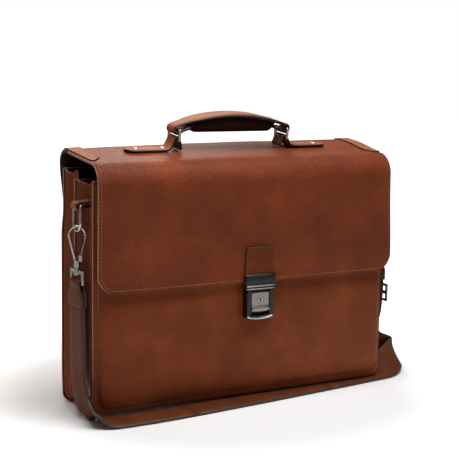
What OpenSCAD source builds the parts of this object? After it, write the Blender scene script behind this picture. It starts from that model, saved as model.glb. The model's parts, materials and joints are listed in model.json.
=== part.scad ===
// Leather briefcase with a front flap, a lock, a top handle and a shoulder strap.
// Millimetres, +Z up, front facing -Y. The origin is the middle of the rear compartment's flat underside.
// The modules are drawn about the middle of the body; placed() moves them back by base_y.

/* [Body] */
// Width of the body, outside of one end seam to the other
body_w = 390; // [370:5:410]
// Depth of the body, back panel's outer face to the front rim
body_d = 82; // [80:1:90]
// Height of the rear compartment's open edge
rear_h = 270; // [262:1:271]
// Height of the front compartment's open edge
front_h = 262; // [254:1:263]
// Thickness of the body leather
leather_t = 2.4; // [2:0.1:2.6]
// Radius of the body's two bottom corners
corner_r = 11; // [10:1:16]
// How far each end gusset sits in from the end seams
gusset_inset = 5; // [4:0.5:6]
// How far the front pocket stands ahead of the front panel
pocket_d = 9; // [7:0.5:9]
// Height of the front pocket's open top edge, under the flap
pocket_h = 215; // [190:5:230]

/* [Flap] */
// How far the flap reaches past each end of the body
flap_over = 3; // [1:0.5:5]
// How far the flap sits off the middle of the body
flap_shift = 3; // [0:0.5:4]
// Thickness of the flap, leather and lining together
flap_t = 3; // [2.4:0.2:3.2]
// Height of the flap's bottom edge
flap_edge_z = 140; // [139.5:0.5:141]
// Radius of the flap's two bottom corners
flap_corner_r = 22; // [10:1:40]
// Width of the reinforcing strip along each end of the flap
end_strip_w = 17; // [12:1:22]

/* [Handle] */
// Distance between the two handle rings
ring_span = 146; // [140:2:150]
// Length of each handle tab on the flap
tab_len = 62; // [56:1:66]
// Width of the handle tabs
tab_w = 21; // [18:1:22]
// Height of the padded grip at its middle
grip_h = 19; // [16:0.5:20]
// Width of the padded grip
grip_w = 20; // [16:1:22]

/* [Lock] */
// Where the lock sits, to the side of the middle
lock_x = 7; // [-20:1:20]
// Width of the lock body
lock_w = 35.5; // [34:0.5:38]
// Radius of the key plug
plug_r = 3.2; // [2.6:0.1:3.4]

/* [Shoulder strap] */
// Width of the shoulder strap
strap_w = 38; // [36:1:40]
// Thickness of the shoulder strap
strap_t = 3.4; // [3:0.1:3.6]
// Distance of the hanging strap from the body's end seam
strap_out = 8; // [8:0.5:10]
// How far forward of the middle the strap hangs
strap_fore = 17; // [15:1:18]

/* [Hidden] */
$fn = 48;

gap = 0.15;                 // air left between sewn pieces
half_w = body_w / 2;
half_d = body_d / 2;
divider_y = 8;              // middle of the divider between the two compartments
front_base_z = 5;           // the front compartment stands clear of the strap on the floor
gusset_x = half_w - gusset_inset;
pocket_y = -half_d - pocket_d;      // outer face of the front pocket
pocket_half_w = half_w - 5;
pocket_base_z = 13;
pocket_corner_r = 15;
board_t = 2;
lining_t = 0.8;
lining_h = 250;

// Flap profile in the YZ plane: a rear bend, a sloping top, a front bend and a hanging drop.
rear_bend = [half_d - 1, 277];
rear_r = 14;
front_bend = [-half_d + 12.5, 256.5];
front_r = 26 + max(0, pocket_d - 9);
bend_gap = rear_bend - front_bend;
top_angle = atan2(bend_gap[1], bend_gap[0]) + acos((front_r - rear_r) / norm(bend_gap));
slope = top_angle - 90;
top_rear = rear_bend + rear_r * [cos(top_angle), sin(top_angle)];
flap_w = body_w + 2 * flap_over;
rear_start_angle = 8;       // where the top leaves the rear hinge gap
split_angle = 145;          // middle of the front hinge gap, on the front bend
split_half = 7;
flap_y = front_bend[0] - front_r;   // outer face of the flap's drop
back_strip_top_z = 264;

// Handle frame: its base point lies on the flap's sloping top.
handle_y = 8;
handle_z = top_rear[1] + (handle_y - top_rear[0]) * tan(slope);
ring_low = 16;            // ring bar heights above the flap
ring_high = 27.5;
ring_wire_r = 1.7;
ring_half = 13;
ring_x = ring_span / 2;
grip_top = 45;              // highest point of the handle above the flap
loop_r = 6;
grip_rise = grip_top - ring_high - loop_r;
grip_arc_r = (pow(ring_x, 2) + pow(grip_rise, 2)) / (2 * grip_rise);
grip_strip_t = 2.5;
grip_half_len = 58;

// Lock: the housing sits on the pocket, the cap and its lug hang from the flap.
lock_seat_y = pocket_y - gap;
lock_base_z = 97;
lock_top_z = 131;
lock_face_y = flap_y - 5;
recess_y = lock_face_y + 3.7;
slider_y = lock_seat_y - 4.7;
receiver_y = flap_y - 1.9;
receiver_top_z = 138.5;
cap_back_y = receiver_y - 0.5;
cap_face_y = cap_back_y - 4;
lug_z = 133.5;
lug_h = 3;
plug_z = 120;
cap_rivet_x = 12;
cap_rivet_z = 147;
spring_r = 1.6;
spring_wire_r = 0.4;
spring_turns = 4;
spring_low_z = 99.5;
spring_h = 5.8;

// Side hardware, drawn on the right-hand side and mirrored for the left.
side_x = half_w + strap_out;
side_y = -strap_fore;
bar_z = 234;                // the D-ring's straight bar
dring_wire_r = 1.8;
dring_r = 9;
dring_leg = 18;
dring_low_z = bar_z - dring_leg - dring_r;
hook_wire_r = 1.6;
hook_r = 9;
hook_top_z = dring_low_z + 4.6;
hook_bow_z = hook_top_z - hook_r;
hook_base_z = 166;
hook_turn = -59;            // turn of the hook's plane away from the D-ring's plane
gate_pivot = [-3.4, 178];   // across and up, in the hook's plane
eye_bar_z = 150;
eye_half = 14.5;
strap_end_z = 124;          // lower end of the stitched fold
strap_top_z = 121;          // upper end of the long strap

function arc_points(c, r, a0, a1, n) =
    [for (i = [0:n]) c + r * [cos(a0 + (a1 - a0) * i / n), sin(a0 + (a1 - a0) * i / n)]];
function reversed(list) = [for (i = [len(list) - 1:-1:0]) list[i]];
function unit(v) = v / norm(v);

// ---- shared shapes ----

module across_x(w) rotate([90, 0, 90]) linear_extrude(height = w, center = true) children();
module along_y(y0, y1) translate([0, y1, 0]) rotate([90, 0, 0]) linear_extrude(height = y1 - y0) children();

// Upright outline with rounded bottom corners, standing on z0.
module pouch_outline(half, z0, z1, r) {
    translate([-half, z0 + r]) square([2 * half, z1 - z0 - r]);
    translate([-half + r, z0]) square([2 * (half - r), r + 1]);
    for (s = [-1, 1]) translate([s * (half - r), z0 + r]) circle(r);
}
module u_strip(half, z0, z1, r, t, y0, y1) along_y(y0, y1) difference() {
    pouch_outline(half, z0, z1, r);
    pouch_outline(half - t, z0 + t, z1 + 1, r - t);
}
module rod_y(r, len) rotate([90, 0, 0]) cylinder(r = r, h = len, center = true);
module rod_x(r, x0, x1) translate([x0, 0, 0]) rotate([0, 90, 0]) cylinder(r = r, h = x1 - x0);
// Closed skin through a row of rings, each a list of points taken the same way round.
module sweep(rings) {
    n = len(rings[0]);
    last = len(rings) - 1;
    sides = [for (i = [0:last - 1], j = [0:n - 1]) let (k = (j + 1) % n)
        each [[n * i + j, n * i + k, n * i + n + k], [n * i + j, n * i + n + k, n * i + n + j]]];
    caps = [[for (j = [n - 1:-1:0]) j], [for (j = [0:n - 1]) n * last + j]];
    polyhedron([for (r = rings, p = r) p], concat(sides, caps));
}
module wire(a, b, r) {
    d = b - a;
    translate(a) rotate([0, acos(d[2] / norm(d)), atan2(d[1], d[0])]) cylinder(r = r, h = norm(d));
}
module loop_y(outer, inner, len) difference() {
    rod_y(outer, len);
    rod_y(inner, len + 2);
}
module on_flap() translate([0, handle_y, handle_z]) rotate([slope, 0, 0]) children();
module flap_frame() translate([0, top_rear[0], top_rear[1]]) rotate([slope, 0, 0]) children();
module on_side(side) {
    if (side > 0) translate([side_x, side_y, 0]) children();
    else mirror([1, 0, 0]) translate([side_x, side_y, 0]) children();
}

// ---- body ----

module back_panel() color("saddlebrown") along_y(half_d - leather_t, half_d)
    pouch_outline(half_w, 0, rear_h, corner_r);

module divider_panel() color("saddlebrown")
    along_y(divider_y - leather_t / 2, divider_y + leather_t / 2)
        pouch_outline(half_w, 0.3, front_h - 2, corner_r);

module front_panel() color("saddlebrown") along_y(-half_d, -half_d + leather_t)
    pouch_outline(half_w, front_base_z, front_h, corner_r);

// A slip pocket: a shallow dish, open behind and at the top.
module front_pocket() color("sienna") difference() {
    along_y(pocket_y, -half_d - gap) pouch_outline(pocket_half_w, pocket_base_z, pocket_h, pocket_corner_r);
    along_y(pocket_y + leather_t, -half_d + 1)
        pouch_outline(pocket_half_w - leather_t, pocket_base_z + leather_t, pocket_h + 1,
            pocket_corner_r - leather_t);
    lock_rivet_places() rod_y(1.3, 4 * pocket_d);
}

module rear_gusset() color("sienna")
    u_strip(gusset_x, 0, rear_h, corner_r, leather_t,
        divider_y + leather_t / 2 + gap, half_d - leather_t - gap);

module front_gusset() color("sienna")
    u_strip(gusset_x, front_base_z, front_h, corner_r, leather_t,
        -half_d + leather_t + gap, divider_y - leather_t / 2 - gap);

module base_board(z0, y0, y1) {
    half = gusset_x - corner_r - 4;
    translate([-half, y0, z0]) cube([2 * half, y1 - y0, board_t]);
}
module rear_base_board() color("dimgray")
    base_board(leather_t + gap, divider_y + leather_t + 2, half_d - leather_t - 2);
module front_base_board() color("dimgray")
    base_board(front_base_z + leather_t + gap, -half_d + leather_t + 2, divider_y - leather_t - 2);

// A cloth bag, open at the top, hanging inside one compartment.
module lining(z0, y0, y1) {
    half = gusset_x - leather_t - 0.5;
    difference() {
        translate([-half, y0, z0]) cube([2 * half, y1 - y0, lining_h - z0]);
        translate([-half + lining_t, y0 + lining_t, z0 + lining_t])
            cube([2 * (half - lining_t), y1 - y0 - 2 * lining_t, lining_h]);
    }
}
module rear_lining() color("darkkhaki")
    lining(corner_r + 2, divider_y + leather_t / 2 + 0.4, half_d - leather_t - 0.4);
module front_lining() color("darkkhaki")
    lining(front_base_z + corner_r + 2, -half_d + leather_t + 0.4, divider_y - leather_t / 2 - 0.4);

// ---- flap ----

// A leather sheet bent to a profile: outer points one way, inner points back.
module bent_sheet(outer, inner) translate([flap_shift, 0, 0]) across_x(flap_w)
    polygon(concat(outer, reversed(inner)));

module flap_back_strip() color("saddlebrown") {
    low = [half_d + gap, 222];
    foot = [half_d + gap, 240];
    head = [rear_bend[0] + rear_r - flap_t, back_strip_top_z];
    bent_sheet(
        [low + [flap_t, 0], foot + [flap_t, 0], head + [flap_t, 0]],
        [low, foot, head]);
}

module flap_top_panel() color("chocolate") {
    end = split_angle - split_half;
    bent_sheet(
        concat(arc_points(rear_bend, rear_r, rear_start_angle, top_angle, 8),
            arc_points(front_bend, front_r, top_angle, end, 8)),
        concat(arc_points(rear_bend, rear_r - flap_t, rear_start_angle, top_angle, 8),
            arc_points(front_bend, front_r - flap_t, top_angle, end, 8)));
}

module flap_front_panel() color("chocolate") difference() {
    intersection() {
        bent_sheet(
            concat(arc_points(front_bend, front_r, split_angle + split_half, 180, 6),
                [[flap_y, flap_edge_z]]),
            concat(arc_points(front_bend, front_r - flap_t, split_angle + split_half, 180, 6),
                [[flap_y + flap_t, flap_edge_z]]));
        translate([flap_shift, 0, 0]) along_y(flap_y - 1, 0)
            pouch_outline(flap_w / 2 + 0.5, flap_edge_z, 300, flap_corner_r);
    }
    cap_rivet_places() rod_y(1.3, 12);
}

// Strip along each end of the flap's top, its inner front corner cut off at a slant.
module flap_end_strips() color("peru") flap_frame()
    translate([flap_shift, 0, 0]) for (s = [-1, 1]) scale([s, 1, 1])
        translate([flap_w / 2 - end_strip_w - 0.5, -66, gap])
            linear_extrude(height = 1.6)
                polygon([[end_strip_w - 5, 0], [end_strip_w, 0], [end_strip_w, 64], [0, 64], [0, 14]]);

// ---- handle ----

module handle_tabs() color("peru") on_flap() for (s = [-1, 1]) scale([s, 1, 1]) difference() {
    union() {
        translate([ring_x, -tab_w / 2, gap]) cube([tab_len - tab_w / 2, tab_w, 2.4]);
        translate([ring_x + tab_len - tab_w / 2, 0, gap]) cylinder(d = tab_w, h = 2.4);
        translate([ring_x, 0, ring_low]) rod_y(4.2, tab_w - 1);
        translate([ring_x - 4.2, -tab_w / 2 + 0.5, gap]) cube([8.4, tab_w - 1, ring_low]);
    }
    translate([ring_x, 0, ring_low]) rod_y(ring_wire_r + 0.3, tab_w + 2);
    translate([ring_x, 0, 0]) tab_rivet_places() cylinder(r = 1.6, h = 9, center = true);
}
module tab_rivet_places() for (x = [14, tab_len - 14]) translate([x, 0, 0]) children();

module tab_rivets() color("silver") on_flap() for (s = [-1, 1]) scale([s, 1, 1])
    translate([ring_x, 0, 0]) tab_rivet_places() {
        translate([0, 0, 0.3]) cylinder(r = 1.45, h = 3);
        intersection() {
            translate([0, 0, -3.2]) sphere(r = 7);
            translate([0, 0, 2.7]) cylinder(r = 3.6, h = 2);
        }
    }

module handle_ring() on_flap() {
    for (w = [ring_low, ring_high]) translate([0, 0, w]) rod_y(ring_wire_r, 2 * ring_half);
    for (s = [-1, 1]) {
        translate([0, s * ring_half, ring_low]) cylinder(r = ring_wire_r, h = ring_high - ring_low);
        for (w = [ring_low, ring_high]) translate([0, s * ring_half, w]) sphere(r = ring_wire_r);
    }
}
module handle_ring_left() color("silver") translate([-ring_x, 0, 0]) handle_ring();
module handle_ring_right() color("silver") translate([ring_x, 0, 0]) handle_ring();

// Padded belly: flat underneath, arched on top, with round lower ends.
module handle_grip() color("#2a1a12") on_flap() intersection() {
    translate([0, 0, grip_top - grip_arc_r]) rod_y_fine(grip_arc_r - grip_strip_t - gap, grip_w);
    along_y(-grip_w / 2, grip_w / 2) pouch_outline(grip_half_len, grip_top - grip_strip_t - grip_h, 60, 9);
}
module rod_y_fine(r, len) rotate([90, 0, 0]) cylinder(r = r, h = len, center = true, $fn = 180);

// One strip over the grip, its two ends turned under round the rings.
module handle_top_strip() color("peru") on_flap() difference() {
    union() {
        intersection() {
            translate([0, 0, grip_top - grip_arc_r]) difference() {
                rod_y_fine(grip_arc_r, tab_w);
                rod_y_fine(grip_arc_r - grip_strip_t, tab_w + 2);
            }
            translate([-ring_x, -20, 0]) cube([2 * ring_x, 40, 60]);
        }
        for (s = [-1, 1]) translate([s * ring_x, 0, ring_high]) rod_y(loop_r, tab_w);
    }
    for (s = [-1, 1]) translate([s * ring_x, 0, ring_high]) rod_y(ring_wire_r + 0.3, tab_w + 2);
}

// ---- lock ----

module at_lock() translate([lock_x, 0, 0]) children();
module lock_rivet_places() at_lock()
    for (s = [-1, 1], z = [lock_base_z + 8, lock_top_z - 5]) translate([s * 13, pocket_y, z]) children();

module lock_outline(half) {
    translate([-half, lock_base_z + 4]) square([2 * half, lock_top_z - lock_base_z - 4]);
    intersection() {
        translate([0, lock_base_z + 60]) circle(60, $fn = 180);
        translate([-half, lock_base_z]) square([2 * half, 10]);
    }
}

module lock_housing() color("dimgray") difference() {
    at_lock() difference() {
        union() {
            along_y(lock_face_y, lock_seat_y) lock_outline(lock_w / 2);
            translate([-13, receiver_y, lock_top_z - 1])
                cube([26, lock_seat_y - receiver_y, receiver_top_z - lock_top_z + 1]);
        }
        // recess for the thumb plate, open at the front
        translate([-12, lock_face_y - 1, 101.5]) cube([24, recess_y - lock_face_y + 1, 40]);
        // rear cavity for the slider and its spring
        translate([-9, slider_y, 99]) cube([18, lock_seat_y - slider_y + 1, 32]);
        // window that joins the two
        translate([-6, recess_y - 1, 106]) cube([12, slider_y - recess_y + 2, 20]);
        // slot where the latch nose rises
        translate([-4.2, slider_y, 130]) cube([8.4, 3.2, 5.2]);
        // mouth that takes the lug, open at its front and top
        translate([-3.6, receiver_y - 1, lug_z - 0.5]) cube([7.2, lock_seat_y - receiver_y + 0.2, 10]);
    }
    lock_rivet_places() rod_y(1.25, 6);
}

module lock_back_plate() color("silver") difference() {
    at_lock() translate([-16, pocket_y + leather_t + gap, 100]) cube([32, 1.2, 30]);
    lock_rivet_places() rod_y(1.3, 20);
}

module lock_rivets() color("silver") lock_rivet_places() {
    translate([0, leather_t / 2 + 0.4, 0]) rod_y(1.15, leather_t + 4.4);
    translate([0, leather_t + 2.1, 0]) rod_y(2.3, 1);
}

// Compression coil under the slider: rings of points along a helix.
module lock_spring() color("silver") at_lock() translate([0, (slider_y + lock_seat_y) / 2, spring_low_z]) {
    steps = spring_turns * 14;
    sweep([for (i = [0:steps]) let (a = 360 * spring_turns * i / steps, z = spring_h * i / steps)
        [for (j = [0:7]) let (b = 45 * j, r = spring_r + spring_wire_r * cos(b))
            [r * cos(a), r * sin(a), z + spring_wire_r * sin(b)]]]);
}

// Plate under the thumb, with the key plug's bore and a raised lower lip.
module thumb_plate() color("lightgray") at_lock() difference() {
    union() {
        translate([-11.5, recess_y - 3.6, 105.5]) cube([23, 3.4, 24.3]);
        intersection() {
            translate([0, recess_y + 6.8, 109.5]) rotate([0, 90, 0])
                cylinder(r = 12, h = 23, center = true);
            translate([-11.5, recess_y - 6, 105.5]) cube([23, 4, 8]);
        }
        translate([-4, recess_y - 1, 109.8]) cube([8, slider_y - recess_y + 1, 5]);
    }
    translate([0, recess_y, plug_z]) rod_y(plug_r + 0.05, 12);
}
module latch_slider() color("gray") at_lock() {
    translate([-8, slider_y + 0.2, 105.8]) cube([16, 2.6, 23.6]);
    translate([-3.8, slider_y + 0.3, 129]) cube([7.6, 2.4, 4.3]);
}
module key_plug() color("darkgray") at_lock() difference() {
    translate([0, recess_y - 2, plug_z]) rod_y(plug_r, 3.4);
    translate([-0.5, recess_y - 5, plug_z - 2]) cube([1, 3.4, 4]);
}

// Flap side: leather tab, metal cap over its end, and the lug behind the cap.
module lock_tab() color("sienna") at_lock() difference() {
    along_y(flap_y - 1.9, flap_y - gap)
        polygon([[-17, 179], [-15.5, 181], [15.5, 181], [17, 179], [19.8, flap_edge_z + 1.5],
            [-19.8, flap_edge_z + 1.5]]);
    for (s = [-1, 1]) translate([s * cap_rivet_x, flap_y, cap_rivet_z]) rod_y(1.3, 8);
}
module cap_rivet_places() at_lock()
    for (s = [-1, 1]) translate([s * cap_rivet_x, flap_y, cap_rivet_z]) children();
module lock_cap() color("#3a3a3e") at_lock() {
    difference() {
        translate([-20, cap_face_y, 131.8]) cube([40, cap_back_y - cap_face_y, 18.2]);
        translate([-21, cap_face_y - 1, 134.3]) cube([42, 1.8, 1.2]);
        for (s = [-1, 1]) translate([s * cap_rivet_x, cap_back_y, cap_rivet_z]) rod_y(1.3, 5);
    }
}
module lock_lug() color("gray") at_lock() difference() {
    translate([-3, cap_back_y + gap, lug_z]) cube([6, lock_seat_y - cap_back_y - 1.2, lug_h]);
    translate([-4, slider_y + 0.05, lug_z - 1]) cube([8, 2.9, 2.7]);
}
module lock_tab_rivets() color("silver") cap_rivet_places() {
    translate([0, 0.2, 0]) rod_y(1.15, 7.2);
    translate([0, flap_t + 0.5, 0]) rod_y(2.2, 0.8);
}

// ---- side hardware ----

module chape() difference() {
    union() {
        translate([-strap_out - gusset_inset + gap, -10, bar_z - 4]) cube([2.2, 20, 14]);
        translate([-strap_out - gusset_inset + gap, -7, bar_z + 0.5]) cube([strap_out + gusset_inset, 14, 4]);
        translate([0, 0, bar_z]) rod_y(4.5, 14);
    }
    translate([0, 0, bar_z]) rod_y(dring_wire_r + 0.3, 30);
}
module dring_chape_left() color("peru") on_side(-1) chape();
module dring_chape_right() color("peru") on_side(1) chape();

module half_ring(r, wire_r, lower) rotate([90, 0, 0]) intersection() {
    rotate_extrude() translate([r, 0]) circle(wire_r);
    translate([-2 * r, lower ? -4 * r : 0, -r]) cube([4 * r, 4 * r, 2 * r]);
}
module dring() {
    low = bar_z - dring_leg;
    translate([0, 0, bar_z]) rod_y(dring_wire_r, 2 * dring_r);
    for (s = [-1, 1]) {
        translate([0, s * dring_r, bar_z]) sphere(r = dring_wire_r);
        translate([0, s * dring_r, low]) cylinder(r = dring_wire_r, h = dring_leg);
    }
    translate([0, 0, low]) rotate([0, 0, 90]) half_ring(dring_r, dring_wire_r, true);
}
// Loop that holds the strap, with a hub that the hook's stem turns in.
module swivel_eye() {
    hub_z = 160.7;
    difference() {
        union() {
            translate([0, 0, hub_z]) cylinder(r = 4.6, h = 5);
            translate([-1.8, -eye_half, hub_z]) cube([3.6, 2 * eye_half, 3.6]);
        }
        translate([0, 0, hub_z - 1]) cylinder(r = 2.05, h = 8);
    }
    translate([0, 0, eye_bar_z]) rod_y(1.8, 2 * eye_half);
    for (s = [-1, 1]) {
        translate([0, s * eye_half, eye_bar_z]) sphere(r = 1.8);
        translate([0, s * eye_half, eye_bar_z]) cylinder(r = 1.8, h = hub_z - eye_bar_z + 3.6);
    }
}
// Strap end folded round the eye's bar and stitched to itself.
module strap_end() difference() {
    union() {
        translate([0, 0, eye_bar_z]) rod_y(4.4, 24);
        rotate([90, 0, 90]) linear_extrude(height = 5, center = true)
            polygon([[-12, eye_bar_z - 2], [12, eye_bar_z - 2], [strap_w / 2, 139], [strap_w / 2, strap_end_z],
                [-strap_w / 2, strap_end_z], [-strap_w / 2, 139]]);
    }
    translate([0, 0, eye_bar_z]) rod_y(2.1, 60);
}
// Egg-shaped wire bow on a swivelling stem; two cheeks and a pin carry the gate.
module hook() {
    rotate([0, 0, hook_turn]) {
        translate([0, 0, hook_bow_z]) rotate([0, 0, 90]) half_ring(hook_r, hook_wire_r, false);
        wire([0, hook_r, hook_bow_z], [0, 1.5, 173], hook_wire_r);
        for (s = [-1, 1]) translate([0, s * hook_r, hook_bow_z]) sphere(r = hook_wire_r + 0.25);
        for (x = [-2.4, 1.3]) translate([x, gate_pivot[0] - 2, 173]) cube([1.1, 3.6, gate_pivot[1] - 171]);
        translate([0, gate_pivot[0], gate_pivot[1]]) rod_x(0.5, -2.3, 2.3);
    }
    translate([0, 0, hook_base_z]) cylinder(r = 3.4, h = 8);
    translate([0, 0, 160.2]) cylinder(r = 1.95, h = 6.5);
    translate([0, 0, 158.2]) cylinder(r = 3.2, h = 2.2);
}
module gate() rotate([0, 0, hook_turn]) difference() {
    foot = [0, gate_pivot[0], gate_pivot[1]];
    tip = [0, -hook_r + 0.2, hook_bow_z - 2 * hook_wire_r - 0.5];
    union() {
        wire(foot, tip, 1);
        translate(tip) sphere(r = 1.5);
        translate(foot) rod_x(1.6, -1.15, 1.15);
    }
    translate(foot) rod_x(0.55, -3, 3);
}
module dring_left() color("silver") on_side(-1) dring();
module dring_right() color("silver") on_side(1) dring();
module swivel_eye_left() color("silver") on_side(-1) swivel_eye();
module swivel_eye_right() color("silver") on_side(1) swivel_eye();
module strap_end_left() color("sienna") on_side(-1) strap_end();
module strap_end_right() color("sienna") on_side(1) strap_end();
module hook_left() color("silver") on_side(-1) hook();
module hook_right() color("silver") on_side(1) hook();
module gate_left() color("silver") on_side(-1) gate();
module gate_right() color("silver") on_side(1) gate();

// ---- shoulder strap ----

// Stations along the strap: centre, then the direction across it from its front edge to its rear edge.
floor_z = strap_t / 2 + 0.1;
strap_stations = [
    [[-side_x, side_y, strap_top_z], [0, 1, 0]],
    [[-side_x, side_y - 1, 88], [0, 1, 0]],
    [[-side_x - 1, side_y - 5, 56], [0, 1, 0.12]],
    [[-side_x - 2, side_y - 14, 34], [0, 1, 0.35]],
    [[-side_x - 1, side_y - 27, 19], [-0.12, 1, 0.46]],
    [[-side_x + 4, side_y - 41, 9.4], [-0.24, 1, 0.26]],
    [[-side_x + 16, side_y - 48.5, 2.8], [-0.3, 1, 0.09]],
    [[-side_x + 38, side_y - 50, floor_z], [-0.1, 1, 0]],
    [[-side_x + 95, side_y - 48, floor_z], [0, 1, 0]],
    [[-12, side_y - 39, floor_z], [-0.07, 1, 0]],
    [[62, side_y - 31, floor_z], [-0.09, 1, 0]],
    [[152, side_y - 20.5, floor_z], [-0.1, 1, 0]],
    [[side_x - 14, side_y - 16, 2.2], [-0.1, 1, 0.02]],
    [[side_x + 4, side_y - 14, 7.5], [-0.1, 1, 0.4]],
    [[side_x + 22, side_y - 8, 15.5], [-0.15, 1, 1.1]],
    [[side_x + 37, side_y + 1, 20.5], [-0.25, 0.7, 1.3]],
    [[side_x + 42, side_y + 12, 23], [-0.35, 0.2, 1]],
    [[side_x + 34, side_y + 22, 26], [-0.1, -0.3, 1]],
    [[side_x + 18, side_y + 24, 32], [0.15, -0.3, 1]],
    [[side_x + 8, side_y + 17, 44], [0.75, 0.35, 0.6]],
    [[side_x + 2, side_y + 7, 62], [0.5, 1, 0.2]],
    [[side_x, side_y + 1, 86], [0.1, 1, 0]],
    [[side_x, side_y, strap_top_z], [0, 1, 0]]
];
function spline(p0, p1, p2, p3, t) = 0.5 * (2 * p1 + (p2 - p0) * t
    + (2 * p0 - 5 * p1 + 4 * p2 - p3) * t * t + (3 * p1 - p0 - 3 * p2 + p3) * t * t * t);
function station(i, k) = strap_stations[max(0, min(len(strap_stations) - 1, i))][k];
function strap_at(u, k) = let (i = min(floor(u), len(strap_stations) - 2))
    spline(station(i - 1, k), station(i, k), station(i + 1, k), station(i + 2, k), u - i);
function strap_ring(u) = let (
    c = strap_at(u, 0),
    t = unit(strap_at(u + 0.02, 0) - strap_at(u - 0.02, 0)),
    w0 = strap_at(u, 1),
    w = unit(w0 - (w0 * t) * t),
    n = cross(t, w) * strap_t / 2,
    h = w * strap_w / 2,
    ring = [c - h - n, c + h - n, c + h + n, c - h + n],
    // an edge that would dip under the floor is lifted on to it
    rise = max(0, 0.1 - min([for (p = ring) p[2]])))
    [for (p = ring) p + [0, 0, rise]];

strap_steps = 4;
module shoulder_strap() color("sienna") {
    last = (len(strap_stations) - 1) * strap_steps;
    rings = [for (i = [0:last]) strap_ring(min(max(i / strap_steps, 0.02), last / strap_steps - 0.02))];
    sweep(rings);
}

// Slotted frame with a centre bar, lying on the strap's outer face, that sets the strap's length.
module strap_adjuster() color("silver") on_side(1) translate([3, 0, 108])
    difference() {
        rotate([0, 90, 0]) linear_extrude(height = 1.8) square([22, strap_w + 8], center = true);
        for (s = [-1, 1]) translate([-1, -strap_w / 2 - 0.5, s * 5 - 3]) cube([4, strap_w + 1, 6]);
    }

// The rear compartment's underside runs from the divider to the back panel; its middle is the origin.
base_y = 24;
module placed() translate([0, -base_y, 0]) children();

placed() back_panel();
placed() divider_panel();
placed() front_panel();
placed() front_pocket();
placed() rear_gusset();
placed() front_gusset();
placed() rear_base_board();
placed() front_base_board();
placed() rear_lining();
placed() front_lining();
placed() flap_back_strip();
placed() dring_chape_left();
placed() dring_chape_right();
placed() shoulder_strap();
placed() strap_adjuster();
placed() flap_top_panel();
placed() flap_end_strips();
placed() handle_tabs();
placed() tab_rivets();
placed() flap_front_panel();
placed() lock_tab();
placed() lock_cap();
placed() lock_lug();
placed() lock_tab_rivets();
placed() handle_ring_left();
placed() handle_ring_right();
placed() handle_grip();
placed() handle_top_strip();
placed() lock_housing();
placed() lock_back_plate();
placed() lock_rivets();
placed() lock_spring();
placed() thumb_plate();
placed() latch_slider();
placed() key_plug();
placed() dring_left();
placed() swivel_eye_left();
placed() strap_end_left();
placed() hook_left();
placed() gate_left();
placed() dring_right();
placed() swivel_eye_right();
placed() strap_end_right();
placed() hook_right();
placed() gate_right();
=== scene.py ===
"""Looks of the leather briefcase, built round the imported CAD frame.

Lengths are in millimetres until new_mesh().
"""
import json
import math

import bmesh
import bpy
import numpy as np
from mathutils import Matrix, Vector, noise


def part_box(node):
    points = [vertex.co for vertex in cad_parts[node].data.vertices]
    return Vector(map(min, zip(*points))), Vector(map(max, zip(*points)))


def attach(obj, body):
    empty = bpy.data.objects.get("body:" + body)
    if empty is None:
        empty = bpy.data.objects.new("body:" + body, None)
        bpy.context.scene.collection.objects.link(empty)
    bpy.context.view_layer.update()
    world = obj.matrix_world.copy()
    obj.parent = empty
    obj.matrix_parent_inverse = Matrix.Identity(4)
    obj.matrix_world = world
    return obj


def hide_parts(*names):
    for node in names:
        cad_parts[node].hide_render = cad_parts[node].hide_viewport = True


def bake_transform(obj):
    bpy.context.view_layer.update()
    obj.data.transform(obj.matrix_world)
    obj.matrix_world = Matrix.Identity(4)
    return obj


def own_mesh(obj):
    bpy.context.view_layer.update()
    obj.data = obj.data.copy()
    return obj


MM = 0.001
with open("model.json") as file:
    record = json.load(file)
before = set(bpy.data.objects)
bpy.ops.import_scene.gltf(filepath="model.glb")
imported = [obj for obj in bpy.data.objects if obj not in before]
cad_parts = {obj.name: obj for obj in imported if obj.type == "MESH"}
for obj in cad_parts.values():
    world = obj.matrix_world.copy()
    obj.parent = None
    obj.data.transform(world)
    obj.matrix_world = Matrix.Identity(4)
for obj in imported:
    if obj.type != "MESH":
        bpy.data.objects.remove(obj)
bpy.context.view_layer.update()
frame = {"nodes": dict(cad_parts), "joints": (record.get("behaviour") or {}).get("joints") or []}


def box_mm(node):
    """Lowest and highest corner of a CAD node, in millimetres."""
    low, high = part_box(node)
    return low / MM, high / MM


def joint_mm(name):
    """A joint's pivot, in millimetres."""
    joint = next(j for j in frame["joints"] if j["name"] == name)
    return Vector(joint["pos_m"]) / MM


# ---- places taken from the frame ----
BACK_LOW, BACK_HIGH = box_mm("back_panel")
FRONT_LOW, FRONT_HIGH = box_mm("front_panel")
DIVIDER_LOW, DIVIDER_HIGH = box_mm("divider_panel")
REAR_GUSSET_LOW, REAR_GUSSET_HIGH = box_mm("rear_gusset")
FRONT_GUSSET_LOW, FRONT_GUSSET_HIGH = box_mm("front_gusset")
POCKET_LOW, POCKET_HIGH = box_mm("front_pocket")
DROP_LOW, DROP_HIGH = box_mm("flap_front_panel")
TOP_HIGH = box_mm("flap_top_panel")[1]
STRIP_LOW, STRIP_HIGH = box_mm("flap_back_strip")
HOUSING_LOW, HOUSING_HIGH = box_mm("lock_housing")
CAP_LOW, CAP_HIGH = box_mm("lock_cap")
THUMB_LOW, THUMB_HIGH = box_mm("thumb_plate")
TAB_LOW, TAB_HIGH = box_mm("lock_tab")

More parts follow.
